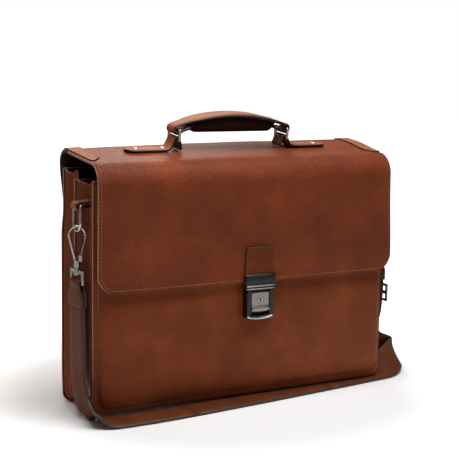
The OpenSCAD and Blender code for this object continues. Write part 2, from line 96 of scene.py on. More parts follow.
HALF_W = BACK_HIGH.x
RIM_Y = FRONT_LOW.y
BODY_Y = (BACK_HIGH.y + FRONT_LOW.y) / 2
CORNER_R = 11
FLAP_T = 3
REAR_BEND_R = 14
FRONT_BEND_R = 26
REAR_BEND = Vector((STRIP_HIGH.y - REAR_BEND_R, TOP_HIGH.z - REAR_BEND_R))
FLAP_MID = (DROP_LOW.x + DROP_HIGH.x) / 2
FLAP_HALF = (DROP_HIGH.x - DROP_LOW.x) / 2
front_pivot = joint_mm("flap_front_lift")
PIVOT_R = FRONT_BEND_R - FLAP_T / 2
FRONT_BEND = Vector((DROP_LOW.y + FRONT_BEND_R, 0))
FRONT_BEND.y = front_pivot.z - math.sqrt(PIVOT_R**2 - (front_pivot.y - FRONT_BEND.x) ** 2)
bend_gap = REAR_BEND - FRONT_BEND
TOP_ANGLE = math.atan2(bend_gap.y, bend_gap.x) + math.acos((FRONT_BEND_R - REAR_BEND_R) / bend_gap.length)
SLOPE = TOP_ANGLE - math.pi / 2
RING_BAR_LOW = joint_mm("handle_sway")
SIDE_X = abs(joint_mm("dring_left_swing").x)
SIDE_Y = joint_mm("dring_left_swing").y
BAR_Z = joint_mm("dring_left_swing").z
LOCK_X = (HOUSING_LOW.x + HOUSING_HIGH.x) / 2


# ---- small geometry helpers ----
def lerp(a, b, t):
    return a + (b - a) * t


def smooth(t):
    t = min(max(t, 0.0), 1.0)
    return t * t * (3 - 2 * t)


def wave(x, y, z, size):
    """Soft, repeatable unevenness between about -1 and 1."""
    return noise.noise(Vector((x / size, y / size, z / size)))


def steps(a, b, count, edge=0.8):
    """Even positions from a to b, with one more close to each end so that edges shade crisply."""
    inner = [lerp(a, b, i / count) for i in range(1, count)]
    sign = 1 if b > a else -1
    return [a, a + sign * edge] + inner + [b - sign * edge, b]


def arc(cx, cz, r, a0, a1, count):
    """Points along an arc, both ends included."""
    angles = [lerp(a0, a1, i / count) for i in range(count + 1)]
    return [(cx + r * math.cos(a), cz + r * math.sin(a)) for a in angles]


def new_mesh(name, verts, faces, materials, indices=None, flat=False):
    mesh = bpy.data.meshes.new(name)
    mesh.from_pydata([tuple(Vector(v) * MM) for v in verts], [], faces)
    for material in materials:
        mesh.materials.append(material)
    if indices is not None:
        mesh.polygons.foreach_set("material_index", indices)
    mesh.polygons.foreach_set("use_smooth", [not flat] * len(faces))
    mesh.validate()
    mesh.update()
    obj = bpy.data.objects.new(name, mesh)
    bpy.context.scene.collection.objects.link(obj)
    return obj


def slab(name, us, vs, face, back, materials, bulge=0.3):
    """Closed sheet between face(u, v) and back(u, v), with a rounded rim. Materials: face, back, rim."""
    nu, nv = len(us), len(vs)
    front_pts = [[Vector(face(u, v)) for v in vs] for u in us]
    back_pts = [[Vector(back(u, v)) for v in vs] for u in us]
    verts = [p for row in front_pts for p in row] + [p for row in back_pts for p in row]
    count = nu * nv
    faces, indices = [], []
    for i in range(nu - 1):
        for j in range(nv - 1):
            a, b, c, d = i * nv + j, (i + 1) * nv + j, (i + 1) * nv + j + 1, i * nv + j + 1
            faces += [(a, b, c, d), (count + a, count + d, count + c, count + b)]
            indices += [0, 1]
    rim = [(i, 0) for i in range(nu)] + [(nu - 1, j) for j in range(1, nv)]
    rim += [(i, nv - 1) for i in range(nu - 2, -1, -1)] + [(0, j) for j in range(nv - 2, 0, -1)]
    mids = []
    for i, j in rim:
        inner = front_pts[min(max(i, 1), nu - 2)][min(max(j, 1), nv - 2)]
        edge = front_pts[i][j]
        middle = (edge + back_pts[i][j]) / 2
        outward = edge - inner
        thick = (edge - back_pts[i][j]).length
        mids.append(middle + outward.normalized() * thick * bulge if outward.length > 1e-6 else middle)
    first = len(verts)
    verts += mids
    for k, (i, j) in enumerate(rim):
        i2, j2 = rim[(k + 1) % len(rim)]
        m1, m2 = first + k, first + (k + 1) % len(rim)
        a, b = i * nv + j, i2 * nv + j2
        faces += [(b, a, m1, m2), (m2, m1, count + a, count + b)]
        indices += [2, 2]
    return fix_normals(new_mesh(name, verts, faces, materials, indices))


def fit(obj, slot, body, *nodes):
    """Sets the body a piece rides on, and hides the CAD nodes it stands for. The slot argument is not used.
    """
    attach(obj, body)
    if nodes:
        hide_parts(*nodes)
    return obj


def fix_normals(obj):
    """Turns every face of a closed mesh outwards."""
    work = bmesh.new()
    work.from_mesh(obj.data)
    bmesh.ops.recalc_face_normals(work, faces=work.faces)
    work.to_mesh(obj.data)
    work.free()
    return obj


def ribbon(name, path, across, half, thick, materials, round_edge=0.35, crown=0.0):
    """Strip of leather along a path. across gives the width direction; half and thick may be lists.
    Materials: outer face, inner face, cut edge."""
    n = len(path)
    path = [Vector(p) for p in path]
    across = [Vector(a).normalized() for a in across]
    halves = half if isinstance(half, (list, tuple)) else [half] * n
    thicks = thick if isinstance(thick, (list, tuple)) else [thick] * n
    verts, faces, indices = [], [], []
    for i in range(n):
        tangent = path[min(i + 1, n - 1)] - path[max(i - 1, 0)]
        tangent.normalize()
        side = (across[i] - tangent * across[i].dot(tangent)).normalized()
        up = tangent.cross(side).normalized()
        w, t = halves[i], thicks[i] / 2
        e = min(round_edge * t * 2, w * 0.5)
        ring = []
        for s in (-1, -0.5, 0, 0.5, 1):
            ring.append(path[i] + side * s * (w - e) + up * (t + crown * (1 - s * s)))
        ring.append(path[i] + side * w + up * t * 0.35)
        ring.append(path[i] + side * w - up * t * 0.35)
        for s in (1, 0.5, 0, -0.5, -1):
            ring.append(path[i] + side * s * (w - e) - up * t)
        ring.append(path[i] - side * w - up * t * 0.35)
        ring.append(path[i] - side * w + up * t * 0.35)
        verts += ring
    m = 14
    kinds = [0, 0, 0, 0, 2, 2, 2, 1, 1, 1, 1, 2, 2, 2]
    for i in range(n - 1):
        for j in range(m):
            k = (j + 1) % m
            faces.append((i * m + j, i * m + k, (i + 1) * m + k, (i + 1) * m + j))
            indices.append(kinds[j])
    faces.append(tuple(range(m - 1, -1, -1)))
    faces.append(tuple((n - 1) * m + j for j in range(m)))
    indices += [2, 2]
    return fix_normals(new_mesh(name, verts, faces, materials, indices))


def resample(points, pitch):
    """Points at an even pitch along a polyline, with the direction at each."""
    points = [Vector(p) for p in points]
    lengths = [0.0]
    for a, b in zip(points, points[1:]):
        lengths.append(lengths[-1] + (b - a).length)
    count = max(1, int(lengths[-1] / pitch))
    out, k = [], 0
    for i in range(count + 1):
        target = lengths[-1] * i / count
        while k < len(points) - 2 and lengths[k + 1] < target:
            k += 1
        span = max(lengths[k + 1] - lengths[k], 1e-9)
        t = (target - lengths[k]) / span
        out.append((points[k].lerp(points[k + 1], t), (points[k + 1] - points[k]).normalized(), k, t))
    return out


def tube_faces(rings, sides, first=0):
    """Faces of a tube made of rings of points, closed at both ends."""
    faces = []
    for i in range(rings - 1):
        a = first + i * sides
        for j in range(sides):
            k = (j + 1) % sides
            faces.append((a + j, a + k, a + sides + k, a + sides + j))
    last = first + (rings - 1) * sides
    faces.append(tuple(range(first + sides - 1, first - 1, -1)))
    faces.append(tuple(range(last, last + sides)))
    return faces


def stitch_line(name, seams, material, pitch=4.0, length=2.7, radius=0.55, lift=0.05):
    """Rows of saddle stitches. Each seam is (points, normals): a polyline lying on the leather."""
    verts, faces = [], []
    rings, sides = 5, 6
    for points, normals in seams:
        for p, direction, k, t in resample(points, pitch)[1:-1]:
            normal = Vector(normals[k]).lerp(Vector(normals[min(k + 1, len(normals) - 1)]), t).normalized()
            side = direction.cross(normal).normalized()
            first = len(verts)
            for i in range(rings):
                a = math.pi * (i + 0.5) / rings
                along, r = -math.cos(a) * length / 2, math.sin(a) ** 0.6 * radius
                for j in range(sides):
                    b = 2 * math.pi * j / sides
                    rise = lift + r * math.sin(b) * 0.75
                    verts.append(p + direction * along + side * r * math.cos(b) + normal * rise)
            faces += tube_faces(rings, sides, first)
    return fix_normals(new_mesh(name, verts, faces, [material]))


def prism(name, loop, y_front, y_back, materials, bevel=0.6, dome=0.0):
    """Solid with the same outline at front and back, its front edge rounded; the outline is in XZ."""
    rows = [(y_back, 0.0), (y_front + bevel, 0.0), (y_front + bevel * 0.3, bevel * 0.3), (y_front, bevel)]
    cx = sum(p[0] for p in loop) / len(loop)
    cz = sum(p[1] for p in loop) / len(loop)
    n = len(loop)
    verts, faces = [], []
    for y, inset in rows:
        for k, (x, z) in enumerate(loop):
            (xa, za), (xb, zb) = loop[k - 1], loop[(k + 1) % n]
            tx, tz = xb - xa, zb - za
            size = math.hypot(tx, tz) or 1
            nx, nz = tz / size, -tx / size
            if nx * (x - cx) + nz * (z - cz) < 0:
                nx, nz = -nx, -nz
            verts.append((x - nx * inset, y, z - nz * inset))
    for r in range(len(rows) - 1):
        for k in range(n):
            k2 = (k + 1) % n
            faces.append((r * n + k, r * n + k2, (r + 1) * n + k2, (r + 1) * n + k))
    faces.append(tuple(range(n)))
    first = (len(rows) - 1) * n
    verts.append((cx, y_front - dome, cz))
    for k in range(n):
        faces.append((first + k, first + (k + 1) % n, len(verts) - 1))
    return fix_normals(new_mesh(name, verts, faces, materials))


def ring_prism(name, outer, inner, y_front, y_back, materials, bevel=0.7):
    """Frame between two outlines with the same number of points, its front edges rounded."""
    n = len(outer)
    verts = []

    def shifted(loop, amount):
        cx = sum(p[0] for p in loop) / n
        cz = sum(p[1] for p in loop) / n
        out = []
        for x, z in loop:
            d = math.hypot(x - cx, z - cz)
            out.append((x + (x - cx) / d * amount, z + (z - cz) / d * amount))
        return out

    rows = [(outer, 0, y_back), (outer, 0, y_front + bevel), (outer, -bevel * 0.35, y_front + bevel * 0.25),
            (outer, -bevel, y_front), (inner, bevel * 0.7, y_front), (inner, 0.1, y_front + bevel * 0.4),
            (inner, 0, y_front + bevel), (inner, 0, y_back)]
    for loop, amount, y in rows:
        verts += [(x, y, z) for x, z in shifted(loop, amount)]
    faces = []
    for r in range(len(rows)):
        r2 = (r + 1) % len(rows)
        for k in range(n):
            k2 = (k + 1) % n
            faces.append((r * n + k, r * n + k2, r2 * n + k2, r2 * n + k))
    return fix_normals(new_mesh(name, verts, faces, materials))


def dome(centre, axis, radius, height, sides=20, rings=6):
    """Points and faces of a low round head standing on a surface."""
    axis = Vector(axis).normalized()
    u = axis.orthogonal().normalized()
    v = axis.cross(u)
    verts = []
    for i in range(rings):
        a = math.pi / 2 * i / rings
        for j in range(sides):
            b = 2 * math.pi * j / sides
            r = radius * math.cos(a)
            verts.append(centre + u * r * math.cos(b) + v * r * math.sin(b) + axis * height * math.sin(a))
    return verts, tube_faces(rings, sides)


def merged(name, parts, material):
    """One mesh from several lists of points and faces."""
    verts, faces = [], []
    for part_verts, part_faces in parts:
        first = len(verts)
        verts += part_verts
        faces += [tuple(first + k for k in face) for face in part_faces]
    return fix_normals(new_mesh(name, verts, faces, [material]))


# ---- materials ----
def node_material(name):
    material = bpy.data.materials.new(name)
    material.use_nodes = True
    tree = material.node_tree
    return material, tree, tree.nodes["Principled BSDF"]


def add(tree, kind, **inputs):
    node = tree.nodes.new(kind)
    for key, value in inputs.items():
        if key in node.inputs:
            node.inputs[key].default_value = value
        else:
            setattr(node, key, value)
    return node


def ramp(tree, source, stops):
    node = tree.nodes.new("ShaderNodeValToRGB")
    while len(node.color_ramp.elements) < len(stops):
        node.color_ramp.elements.new(0.5)
    for element, (place, colour) in zip(node.color_ramp.elements, stops):
        element.position = place
        element.color = (*colour, 1)
    tree.links.new(source, node.inputs["Fac"])
    return node.outputs["Color"]


def scaled(colour, k):
    return tuple(min(1, c * k) for c in colour)


def leather(name, colour, rough=0.42, grain=1.0, mottle=0.22, cell=1.5, coat=0.03, shine=0.11):
    """Grained leather: colour clouds, darker pores between cells, small bumps and long soft creases."""
    material, tree, shader = node_material(name)
    link = tree.links.new
    coords = add(tree, "ShaderNodeTexCoord")
    place = coords.outputs["Object"]
    clouds = add(tree, "ShaderNodeTexNoise", Scale=14.0, Detail=4.0, Roughness=0.6)
    fine = add(tree, "ShaderNodeTexNoise", Scale=320.0, Detail=3.0, Roughness=0.65)
    cells = add(tree, "ShaderNodeTexVoronoi", feature="DISTANCE_TO_EDGE", Scale=1000.0 / cell)
    warp = add(tree, "ShaderNodeTexNoise", Scale=180.0, Detail=2.0)
    mix_place = add(tree, "ShaderNodeMixRGB", blend_type="LINEAR_LIGHT", Fac=0.0022)
    link(place, clouds.inputs["Vector"])
    link(place, fine.inputs["Vector"])
    link(place, warp.inputs["Vector"])
    link(place, mix_place.inputs[1])
    link(warp.outputs["Color"], mix_place.inputs[2])
    link(mix_place.outputs[0], cells.inputs["Vector"])
    base = ramp(tree, clouds.outputs["Fac"], [
        (0.30, scaled(colour, 1 - mottle * 1.3)), (0.52, colour), (0.72, scaled(colour, 1 + mottle * 1.5))])
    pores = ramp(tree, cells.outputs["Distance"], [(0.0, (0.62, 0.56, 0.52)), (0.12, (1, 1, 1))])
    tint = add(tree, "ShaderNodeMixRGB", blend_type="MULTIPLY", Fac=0.55 * grain)
    link(base, tint.inputs[1])
    link(pores, tint.inputs[2])
    speckle = ramp(tree, fine.outputs["Fac"], [(0.35, (0.9, 0.88, 0.86)), (0.65, (1.06, 1.05, 1.04))])
    tint2 = add(tree, "ShaderNodeMixRGB", blend_type="MULTIPLY", Fac=0.5)
    link(tint.outputs[0], tint2.inputs[1])
    link(speckle, tint2.inputs[2])
    link(tint2.outputs[0], shader.inputs["Base Color"])
    rough_map = add(tree, "ShaderNodeMapRange")
    rough_map.inputs["To Min"].default_value = rough - 0.07
    rough_map.inputs["To Max"].default_value = rough + 0.13
    link(fine.outputs["Fac"], rough_map.inputs["Value"])
    link(rough_map.outputs[0], shader.inputs["Roughness"])
    height = add(tree, "ShaderNodeMath", operation="MULTIPLY_ADD")
    height.inputs[1].default_value = 0.35
    cell_top = add(tree, "ShaderNodeMath", operation="MINIMUM")
    cell_top.inputs[1].default_value = 0.22
    link(cells.outputs["Distance"], cell_top.inputs[0])
    link(fine.outputs["Fac"], height.inputs[0])
    link(cell_top.outputs[0], height.inputs[2])
    bump = add(tree, "ShaderNodeBump", Strength=0.9 * grain, Distance=0.0014)
    link(height.outputs[0], bump.inputs["Height"])
    slant = add(tree, "ShaderNodeMapping")
    slant.inputs["Rotation"].default_value = (0, math.radians(35), 0)
    slant.inputs["Scale"].default_value = (0.45, 1.0, 1.0)
    link(place, slant.inputs["Vector"])
    creases = add(tree, "ShaderNodeTexNoise", Scale=42.0, Detail=5.0, Roughness=0.6)
    link(slant.outputs[0], creases.inputs["Vector"])
    bump2 = add(tree, "ShaderNodeBump", Strength=0.6, Distance=0.0035)
    link(creases.outputs["Fac"], bump2.inputs["Height"])
    link(bump.outputs[0], bump2.inputs["Normal"])
    link(bump2.outputs[0], shader.inputs["Normal"])
    shader.inputs["Specular IOR Level"].default_value = shine
    shader.inputs["Coat Weight"].default_value = coat
    shader.inputs["Coat Roughness"].default_value = 0.32
    return material


def edge_paint(name, colour, rough=0.35):
    material, tree, shader = node_material(name)
    coords = add(tree, "ShaderNodeTexCoord")
    spots = add(tree, "ShaderNodeTexNoise", Scale=260.0, Detail=3.0)
    tree.links.new(coords.outputs["Object"], spots.inputs["Vector"])
    tone = ramp(tree, spots.outputs["Fac"], [(0.3, scaled(colour, 0.7)), (0.7, scaled(colour, 1.3))])
    tree.links.new(tone, shader.inputs["Base Color"])
    bump = add(tree, "ShaderNodeBump", Strength=0.2, Distance=0.0004)
    tree.links.new(spots.outputs["Fac"], bump.inputs["Height"])
    tree.links.new(bump.outputs[0], shader.inputs["Normal"])
    shader.inputs["Roughness"].default_value = rough
    return material


def woven(name, colour):
    """Plain-weave cotton: two crossed sets of threads."""
    material, tree, shader = node_material(name)
    coords = add(tree, "ShaderNodeTexCoord")
    threads = []
    for axis in ("X", "Z"):
        wavy = add(tree, "ShaderNodeTexWave", bands_direction=axis, Scale=420.0, Distortion=0.6)
        tree.links.new(coords.outputs["Object"], wavy.inputs["Vector"])
        threads.append(wavy.outputs["Fac"])
    weave = add(tree, "ShaderNodeMath", operation="MULTIPLY")
    tree.links.new(threads[0], weave.inputs[0])
    tree.links.new(threads[1], weave.inputs[1])
    tone = ramp(tree, weave.outputs[0], [(0.0, scaled(colour, 0.6)), (0.6, scaled(colour, 1.25))])
    tree.links.new(tone, shader.inputs["Base Color"])
    bump = add(tree, "ShaderNodeBump", Strength=0.5, Distance=0.0003)
    tree.links.new(weave.outputs[0], bump.inputs["Height"])
    tree.links.new(bump.outputs[0], shader.inputs["Normal"])
    shader.inputs["Roughness"].default_value = 0.9
    shader.inputs["Sheen Weight"].default_value = 0.3
    return material


def metal(name, colour, rough=0.16, scratches=0.12):
    """Plated metal with faint polishing lines and uneven shine."""
    material, tree, shader = node_material(name)
    coords = add(tree, "ShaderNodeTexCoord")
    stretch = add(tree, "ShaderNodeMapping")
    stretch.inputs["Scale"].default_value = (90.0, 90.0, 1400.0)
    lines = add(tree, "ShaderNodeTexNoise", Scale=1.0, Detail=2.0)
    tree.links.new(coords.outputs["Object"], stretch.inputs["Vector"])
    tree.links.new(stretch.outputs[0], lines.inputs["Vector"])
    spread = add(tree, "ShaderNodeMapRange")
    spread.inputs["To Min"].default_value = rough
    spread.inputs["To Max"].default_value = rough + scratches
    tree.links.new(lines.outputs["Fac"], spread.inputs["Value"])
    tree.links.new(spread.outputs[0], shader.inputs["Roughness"])
    tone = ramp(tree, lines.outputs["Fac"], [(0.3, scaled(colour, 0.85)), (0.7, scaled(colour, 1.08))])
    tree.links.new(tone, shader.inputs["Base Color"])
    shader.inputs["Metallic"].default_value = 1.0
    return material


BODY_BROWN = (0.205, 0.0375, 0.0078)
BODY = leather("body_leather", BODY_BROWN, rough=0.38, cell=2.2, shine=0.17)
PANEL = leather("panel_leather", (0.215, 0.047, 0.0120), rough=0.34, grain=0.6)
TRIM = leather("trim_leather", (0.34, 0.115, 0.048), rough=0.45, grain=0.7, cell=1.1)
TRIM_DARK = leather("lock_tab_leather", (0.165, 0.036, 0.0085), rough=0.40, grain=0.8)
STRAP = leather("strap_leather", (0.135, 0.036, 0.0125), rough=0.46, grain=0.5, cell=1.1)
GRIP = leather("grip_leather", (0.022, 0.0065, 0.0030), rough=0.45, grain=0.5, coat=0.0, shine=0.06)
SUEDE = leather("flap_lining_leather", (0.030, 0.016, 0.011), rough=0.7, grain=0.3, coat=0.0)
EDGE_DARK = edge_paint("edge_paint_dark", (0.020, 0.011, 0.009))
EDGE_STRAP = edge_paint("edge_paint_strap", (0.045, 0.020, 0.012), rough=0.5)
# Light rim colour: partly the real burnished edge, partly a painted highlight along the rounded rims of the
# flap front, panels, gussets and pocket.
EDGE_BROWN_HIGHLIT = edge_paint("edge_burnished_brown_painted_highlight", (0.38, 0.16, 0.095), rough=0.42)
THREAD = edge_paint("thread_brown", (0.24, 0.095, 0.050), rough=0.7)
CLOTH = woven("lining_cotton", (0.13, 0.085, 0.055))
BOARD = edge_paint("fibre_board", (0.09, 0.07, 0.05), rough=0.8)
NICKEL = metal("nickel", (0.40, 0.385, 0.365), rough=0.20)
BRIGHT = metal("bright_nickel", (0.56, 0.54, 0.51), rough=0.14, scratches=0.10)
GUNMETAL = metal("gunmetal", (0.055, 0.053, 0.052), rough=0.24)
# Darker, rougher copy of nickel for the thumb plate's face: the darker colour is a painted dark reflection,
# the roughness a satin finish.
PLATE_DARKENED = metal("thumb_plate_metal_painted_dark_reflection", (0.36, 0.34, 0.31), rough=0.24, scratches=0.16)
SHADOW_METAL = metal("dark_metal", (0.035, 0.034, 0.036), rough=0.38)


# ---- flap ----
def flap_profile():
    """Outer line of the flap in YZ: up the back, over the rear bend, down the slope, over the front bend."""
    back_y = STRIP_LOW.y + FLAP_T
    line = []
    start, start_pull = Vector((back_y, STRIP_LOW.z)), Vector((back_y, STRIP_LOW.z + 18))
    end_pull, end = Vector((STRIP_HIGH.y, 258)), Vector((STRIP_HIGH.y, REAR_BEND.y))
    for i in range(24):
        t = i / 24
        near = start * (1 - t) ** 3 + start_pull * (3 * t * (1 - t) ** 2)
        line.append(near + end_pull * (3 * t * t * (1 - t)) + end * t**3)
    line += [Vector(p) for p in arc(*REAR_BEND, REAR_BEND_R, 0, TOP_ANGLE, 20)]
    line += [Vector(p) for p in arc(*FRONT_BEND, FRONT_BEND_R, TOP_ANGLE, math.pi, 24)]
    line.append(Vector((DROP_LOW.y, DROP_LOW.z)))
    return line


class Profile:
    """A line in YZ, read by distance along it."""

    def __init__(self, points):
        self.points = points
        self.lengths = [0.0]
        for a, b in zip(points, points[1:]):
            self.lengths.append(self.lengths[-1] + (b - a).length)
        self.total = self.lengths[-1]

    def at(self, s):
        """Point and outward normal at distance s."""
        k = int(np.searchsorted(self.lengths, s, side="right")) - 1
        k = min(max(k, 0), len(self.points) - 2)
        a, b = self.points[k], self.points[k + 1]
        t = (s - self.lengths[k]) / (b - a).length
        before = self.points[max(k - 1, 0)]
        after = self.points[min(k + 2, len(self.points) - 1)]
        start_dir = (b - before).normalized()
        end_dir = (after - a).normalized()
        direction = start_dir.lerp(end_dir, min(max(t, 0), 1)).normalized()
        return a.lerp(b, t), Vector((direction.y, -direction.x))

    def distance_at_y(self, y, low, high):
        """Distance along the line, between two limits, where it reaches a depth."""
        for _ in range(40):
            mid = (low + high) / 2
            if self.at(mid)[0].x > y:
                low = mid
            else:
                high = mid
        return low


FLAP = Profile(flap_profile())
S_REAR_BEND = FLAP.lengths[24]
S_REAR_TOP = FLAP.lengths[44]
S_FRONT_TOP = FLAP.lengths[45]
S_DROP = FLAP.lengths[69]
FLAP_CORNER = 22


def top_rise(x, s):
    """How far the flap's top is drawn up: least at its left end, most along the rear and the right."""
    across = 1 - (1 - min(1.0, max(0.0, (x - FLAP_MID + FLAP_HALF) / (2 * FLAP_HALF)))) ** 3
    up_rear = smooth((s - S_REAR_BEND) / (S_REAR_TOP - S_REAR_BEND))
    to_front = 1 - 0.8 * smooth((s - S_REAR_TOP - 18) / (S_FRONT_TOP - S_REAR_TOP - 18))
    fade = 1 - smooth((s - S_FRONT_TOP) / 14)
    return 4.9 * across * up_rear * to_front * fade


def flap_half(s):
    """Half the flap's width at a distance along it; it narrows round the bottom corners."""
    into_corner = FLAP_CORNER - (FLAP.total - s)
    if into_corner <= 0:
        return FLAP_HALF
    return FLAP_HALF - FLAP_CORNER + math.sqrt(max(0.0, FLAP_CORNER**2 - into_corner**2))


def flap_point(x_share, s, depth=0.0):
    """Point on the flap; x_share runs from -1 to 1 across it, depth goes inwards from its outer face."""
    p, normal = FLAP.at(s)
    x = FLAP_MID + x_share * flap_half(s)
    reach = abs(x - FLAP_MID) / FLAP_HALF
    hang = smooth((s - S_FRONT_TOP) / (S_DROP - S_FRONT_TOP))
    low_edge = smooth((s - S_DROP) / (FLAP.total - S_DROP))
    pulled_in = 4.0 * (1 - low_edge) if x_share > 0 else 1.8
    x -= math.copysign(pulled_in, x_share) * reach**3
    lift = 0.45 * wave(x, s, 3.0, 70) + 0.22 * wave(x, s, 9.0, 26) + top_rise(x, s)
    inset = hang * (2.6 * reach**8 + 0.5 * low_edge * reach**2)
    q = p + normal * (lift - depth)
    return Vector((x, q.x + inset, q.y))


def flap_rows(s0, s1, gap):
    count = max(2, round((s1 - s0) / gap))
    return [lerp(s0, s1, i / count) for i in range(count + 1)]


def build_flap():
    split = FLAP.distance_at_y(8, S_REAR_TOP, S_FRONT_TOP)
    xs = steps(-1.0, 1.0, 96, edge=0.004)
    rear_rows = [0.0, 0.8] + flap_rows(3.0, S_REAR_TOP, 2.2) + flap_rows(S_REAR_TOP, split, 5)[1:]
    front_rows = flap_rows(split, S_FRONT_TOP, 5) + flap_rows(S_FRONT_TOP, S_DROP, 1.6)[1:]
    front_rows += flap_rows(S_DROP, FLAP.total - FLAP_CORNER, 4)[1:]
    front_rows += [FLAP.total - FLAP_CORNER * (1 - math.sin(a * math.pi / 28)) for a in range(1, 14)]
    front_rows += [FLAP.total - 0.12, FLAP.total]

    def sheet(name, rows, rim):
        return slab(name, rows, xs, lambda s, x: flap_point(x, s), lambda s, x: flap_point(x, s, FLAP_T),
                    [BODY, SUEDE, rim])

    rear = sheet("flap_leather_rear", rear_rows, EDGE_DARK)
    # The front sheet's rim takes the lightened edge colour, a painted highlight along the flap's lower edge.
    front = sheet("flap_leather_front", front_rows, EDGE_BROWN_HIGHLIT)
    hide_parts("flap_back_strip", "flap_top_panel")
    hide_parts("flap_front_panel")
    seam = 3.0
    side_share = 1 - seam / FLAP_HALF
    side_rows = flap_rows(4.0, split, 3)
    rear_seams = [flap_seam([(share, s) for s in side_rows]) for share in (-side_share, side_share)]
    straight = FLAP_HALF - FLAP_CORNER
    corner = arc(straight, FLAP.total - FLAP_CORNER, FLAP_CORNER - seam, 0, math.pi / 2, 12)[1:-1]
    around = [(-side_share, s) for s in flap_rows(split, FLAP.total - FLAP_CORNER, 3)]
    around += [(-x, s, True) for x, s in corner]
    around += [(x, FLAP.total - seam, True) for x in np.linspace(-straight, straight, 90)]
    around += [(x, s, True) for x, s in reversed(corner)]
    around += [(side_share, s) for s in reversed(flap_rows(split, FLAP.total - FLAP_CORNER, 3))]
    rear_seams.append(flap_seam([(x, seam) for x in np.linspace(-side_share, side_share, 90)]))
    rear_thread = stitch_line("flap_stitching_rear", rear_seams, THREAD, radius=0.65)
    front_thread = stitch_line("flap_stitching_front", [flap_seam(around)], THREAD, radius=0.65)
    for piece in (rear, rear_thread):
        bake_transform(piece)
    for piece in (front, front_thread):
        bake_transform(piece)


def flap_seam(places):
    """Polyline on the flap's outer face. A place is (share, s), or (x from the middle, s, True)."""
    points, normals = [], []
    for place in places:
        s = place[1]
        share = place[0]
        if len(place) == 3:
            share = place[0] / flap_half(s)
        points.append(flap_point(share, s))
        normal = FLAP.at(s)[1]
        normals.append(Vector((0, normal.x, normal.y)))
    return points, normals


# ---- things lying on the flap's top ----
RING_LOW = 16.0
RING_HIGH = 27.5
HANDLE_Y = RING_BAR_LOW.y + math.sin(SLOPE) * RING_LOW
top_rear = REAR_BEND + REAR_BEND_R * Vector((math.cos(TOP_ANGLE), math.sin(TOP_ANGLE)))
HANDLE_Z = top_rear.y + (HANDLE_Y - top_rear.x) * math.tan(SLOPE)
UP = Vector((0, -math.sin(SLOPE), math.cos(SLOPE)))
REARWARD = Vector((0, math.cos(SLOPE), math.sin(SLOPE)))
RING_X = abs(RING_BAR_LOW.x)


S_HANDLE = FLAP.distance_at_y(HANDLE_Y, S_REAR_TOP, S_FRONT_TOP)


def on_flap(x, v, w):
    """Point in the handle's own frame: x along the bag, v rearwards along the slope, w above it."""
    return Vector((x, HANDLE_Y, HANDLE_Z)) + REARWARD * v + UP * w


def build_tab(side):
    """Tab sewn to the flap, its inner end turned up and over the ring's lower bar."""
    name = "right" if side > 0 else "left"
    outer = box_mm("handle_tabs")[1].x
    base = 1.6 + top_rise(side * (RING_X + 30), S_HANDLE)
    path = [(outer - d, base) for d in (0.0, 0.5, 1.5, 3, 5, 7.5, 10.5, 16, 24, 32, 40)]
    path += [(RING_X + 14, base + 0.1), (RING_X + 10.5, base + 0.9), (RING_X + 7.8, base + 2.8)]
    path += [(RING_X + 6.0, base + 5.6), (RING_X + 4.6, base + 8.6)]
    path += arc(RING_X, RING_LOW, 3.1, 0.1, math.pi - 0.1, 14)
    path += [(RING_X - 4.2, 12.5), (RING_X - 5.2, base + 4.4), (RING_X - 5.6, base + 2.2)]
    path += [(RING_X - 4.6, base + 0.2)]
    points = [on_flap(side * x, 0, w) for x, w in path]
    widths = []
    for x, w in path:
        d = outer - x
        tip = math.sqrt(max(0.02, 1 - (1 - min(d, 10.5) / 10.5) ** 2)) * 10.5
        neck = lerp(9.6, 10.5, smooth((x - RING_X - 4) / 10))
        widths.append(min(tip, neck))
    thick = [lerp(2.3, 3.0, smooth((x - RING_X - 4) / 8)) for x, w in path]
    piece = ribbon("handle_tab_" + name, points, [REARWARD] * len(points), widths, thick,
                   [TRIM, TRIM, EDGE_DARK], round_edge=0.3)
    fit(piece, "trim_leather", "flap_top")
    seams = []
    for row in (-1, 1):
        line = []
        for i in range(10):
            a = math.pi / 2 * i / 9
            line.append((outer - 10.5 + 8.0 * math.cos(a) * 1.0, row * 8.0 * math.sin(a)))
        line.append((RING_X + 13, row * 8.0))
        pts = [on_flap(side * x, v, base + 1.35) for x, v in line]
        seams.append((pts, [UP] * len(pts)))
    cross = [on_flap(side * (RING_X + 12.5), v, base + 1.45) for v in np.linspace(-7.6, 7.6, 5)]
    seams.append((cross, [UP] * len(cross)))
    thread = stitch_line("handle_tab_stitching_" + name, seams, THREAD, pitch=3.2, length=2.3, radius=0.36)
    fit(thread, "trim_leather", "flap_top")
    heads = [dome(on_flap(side * (RING_X + d), 0, base + 1.35), UP, 3.4, 1.5) for d in (14, 48)]
    rivets = merged("handle_tab_rivets_" + name, heads, BRIGHT)
    fit(rivets, "nickel", "flap_top")
    return piece, rivets


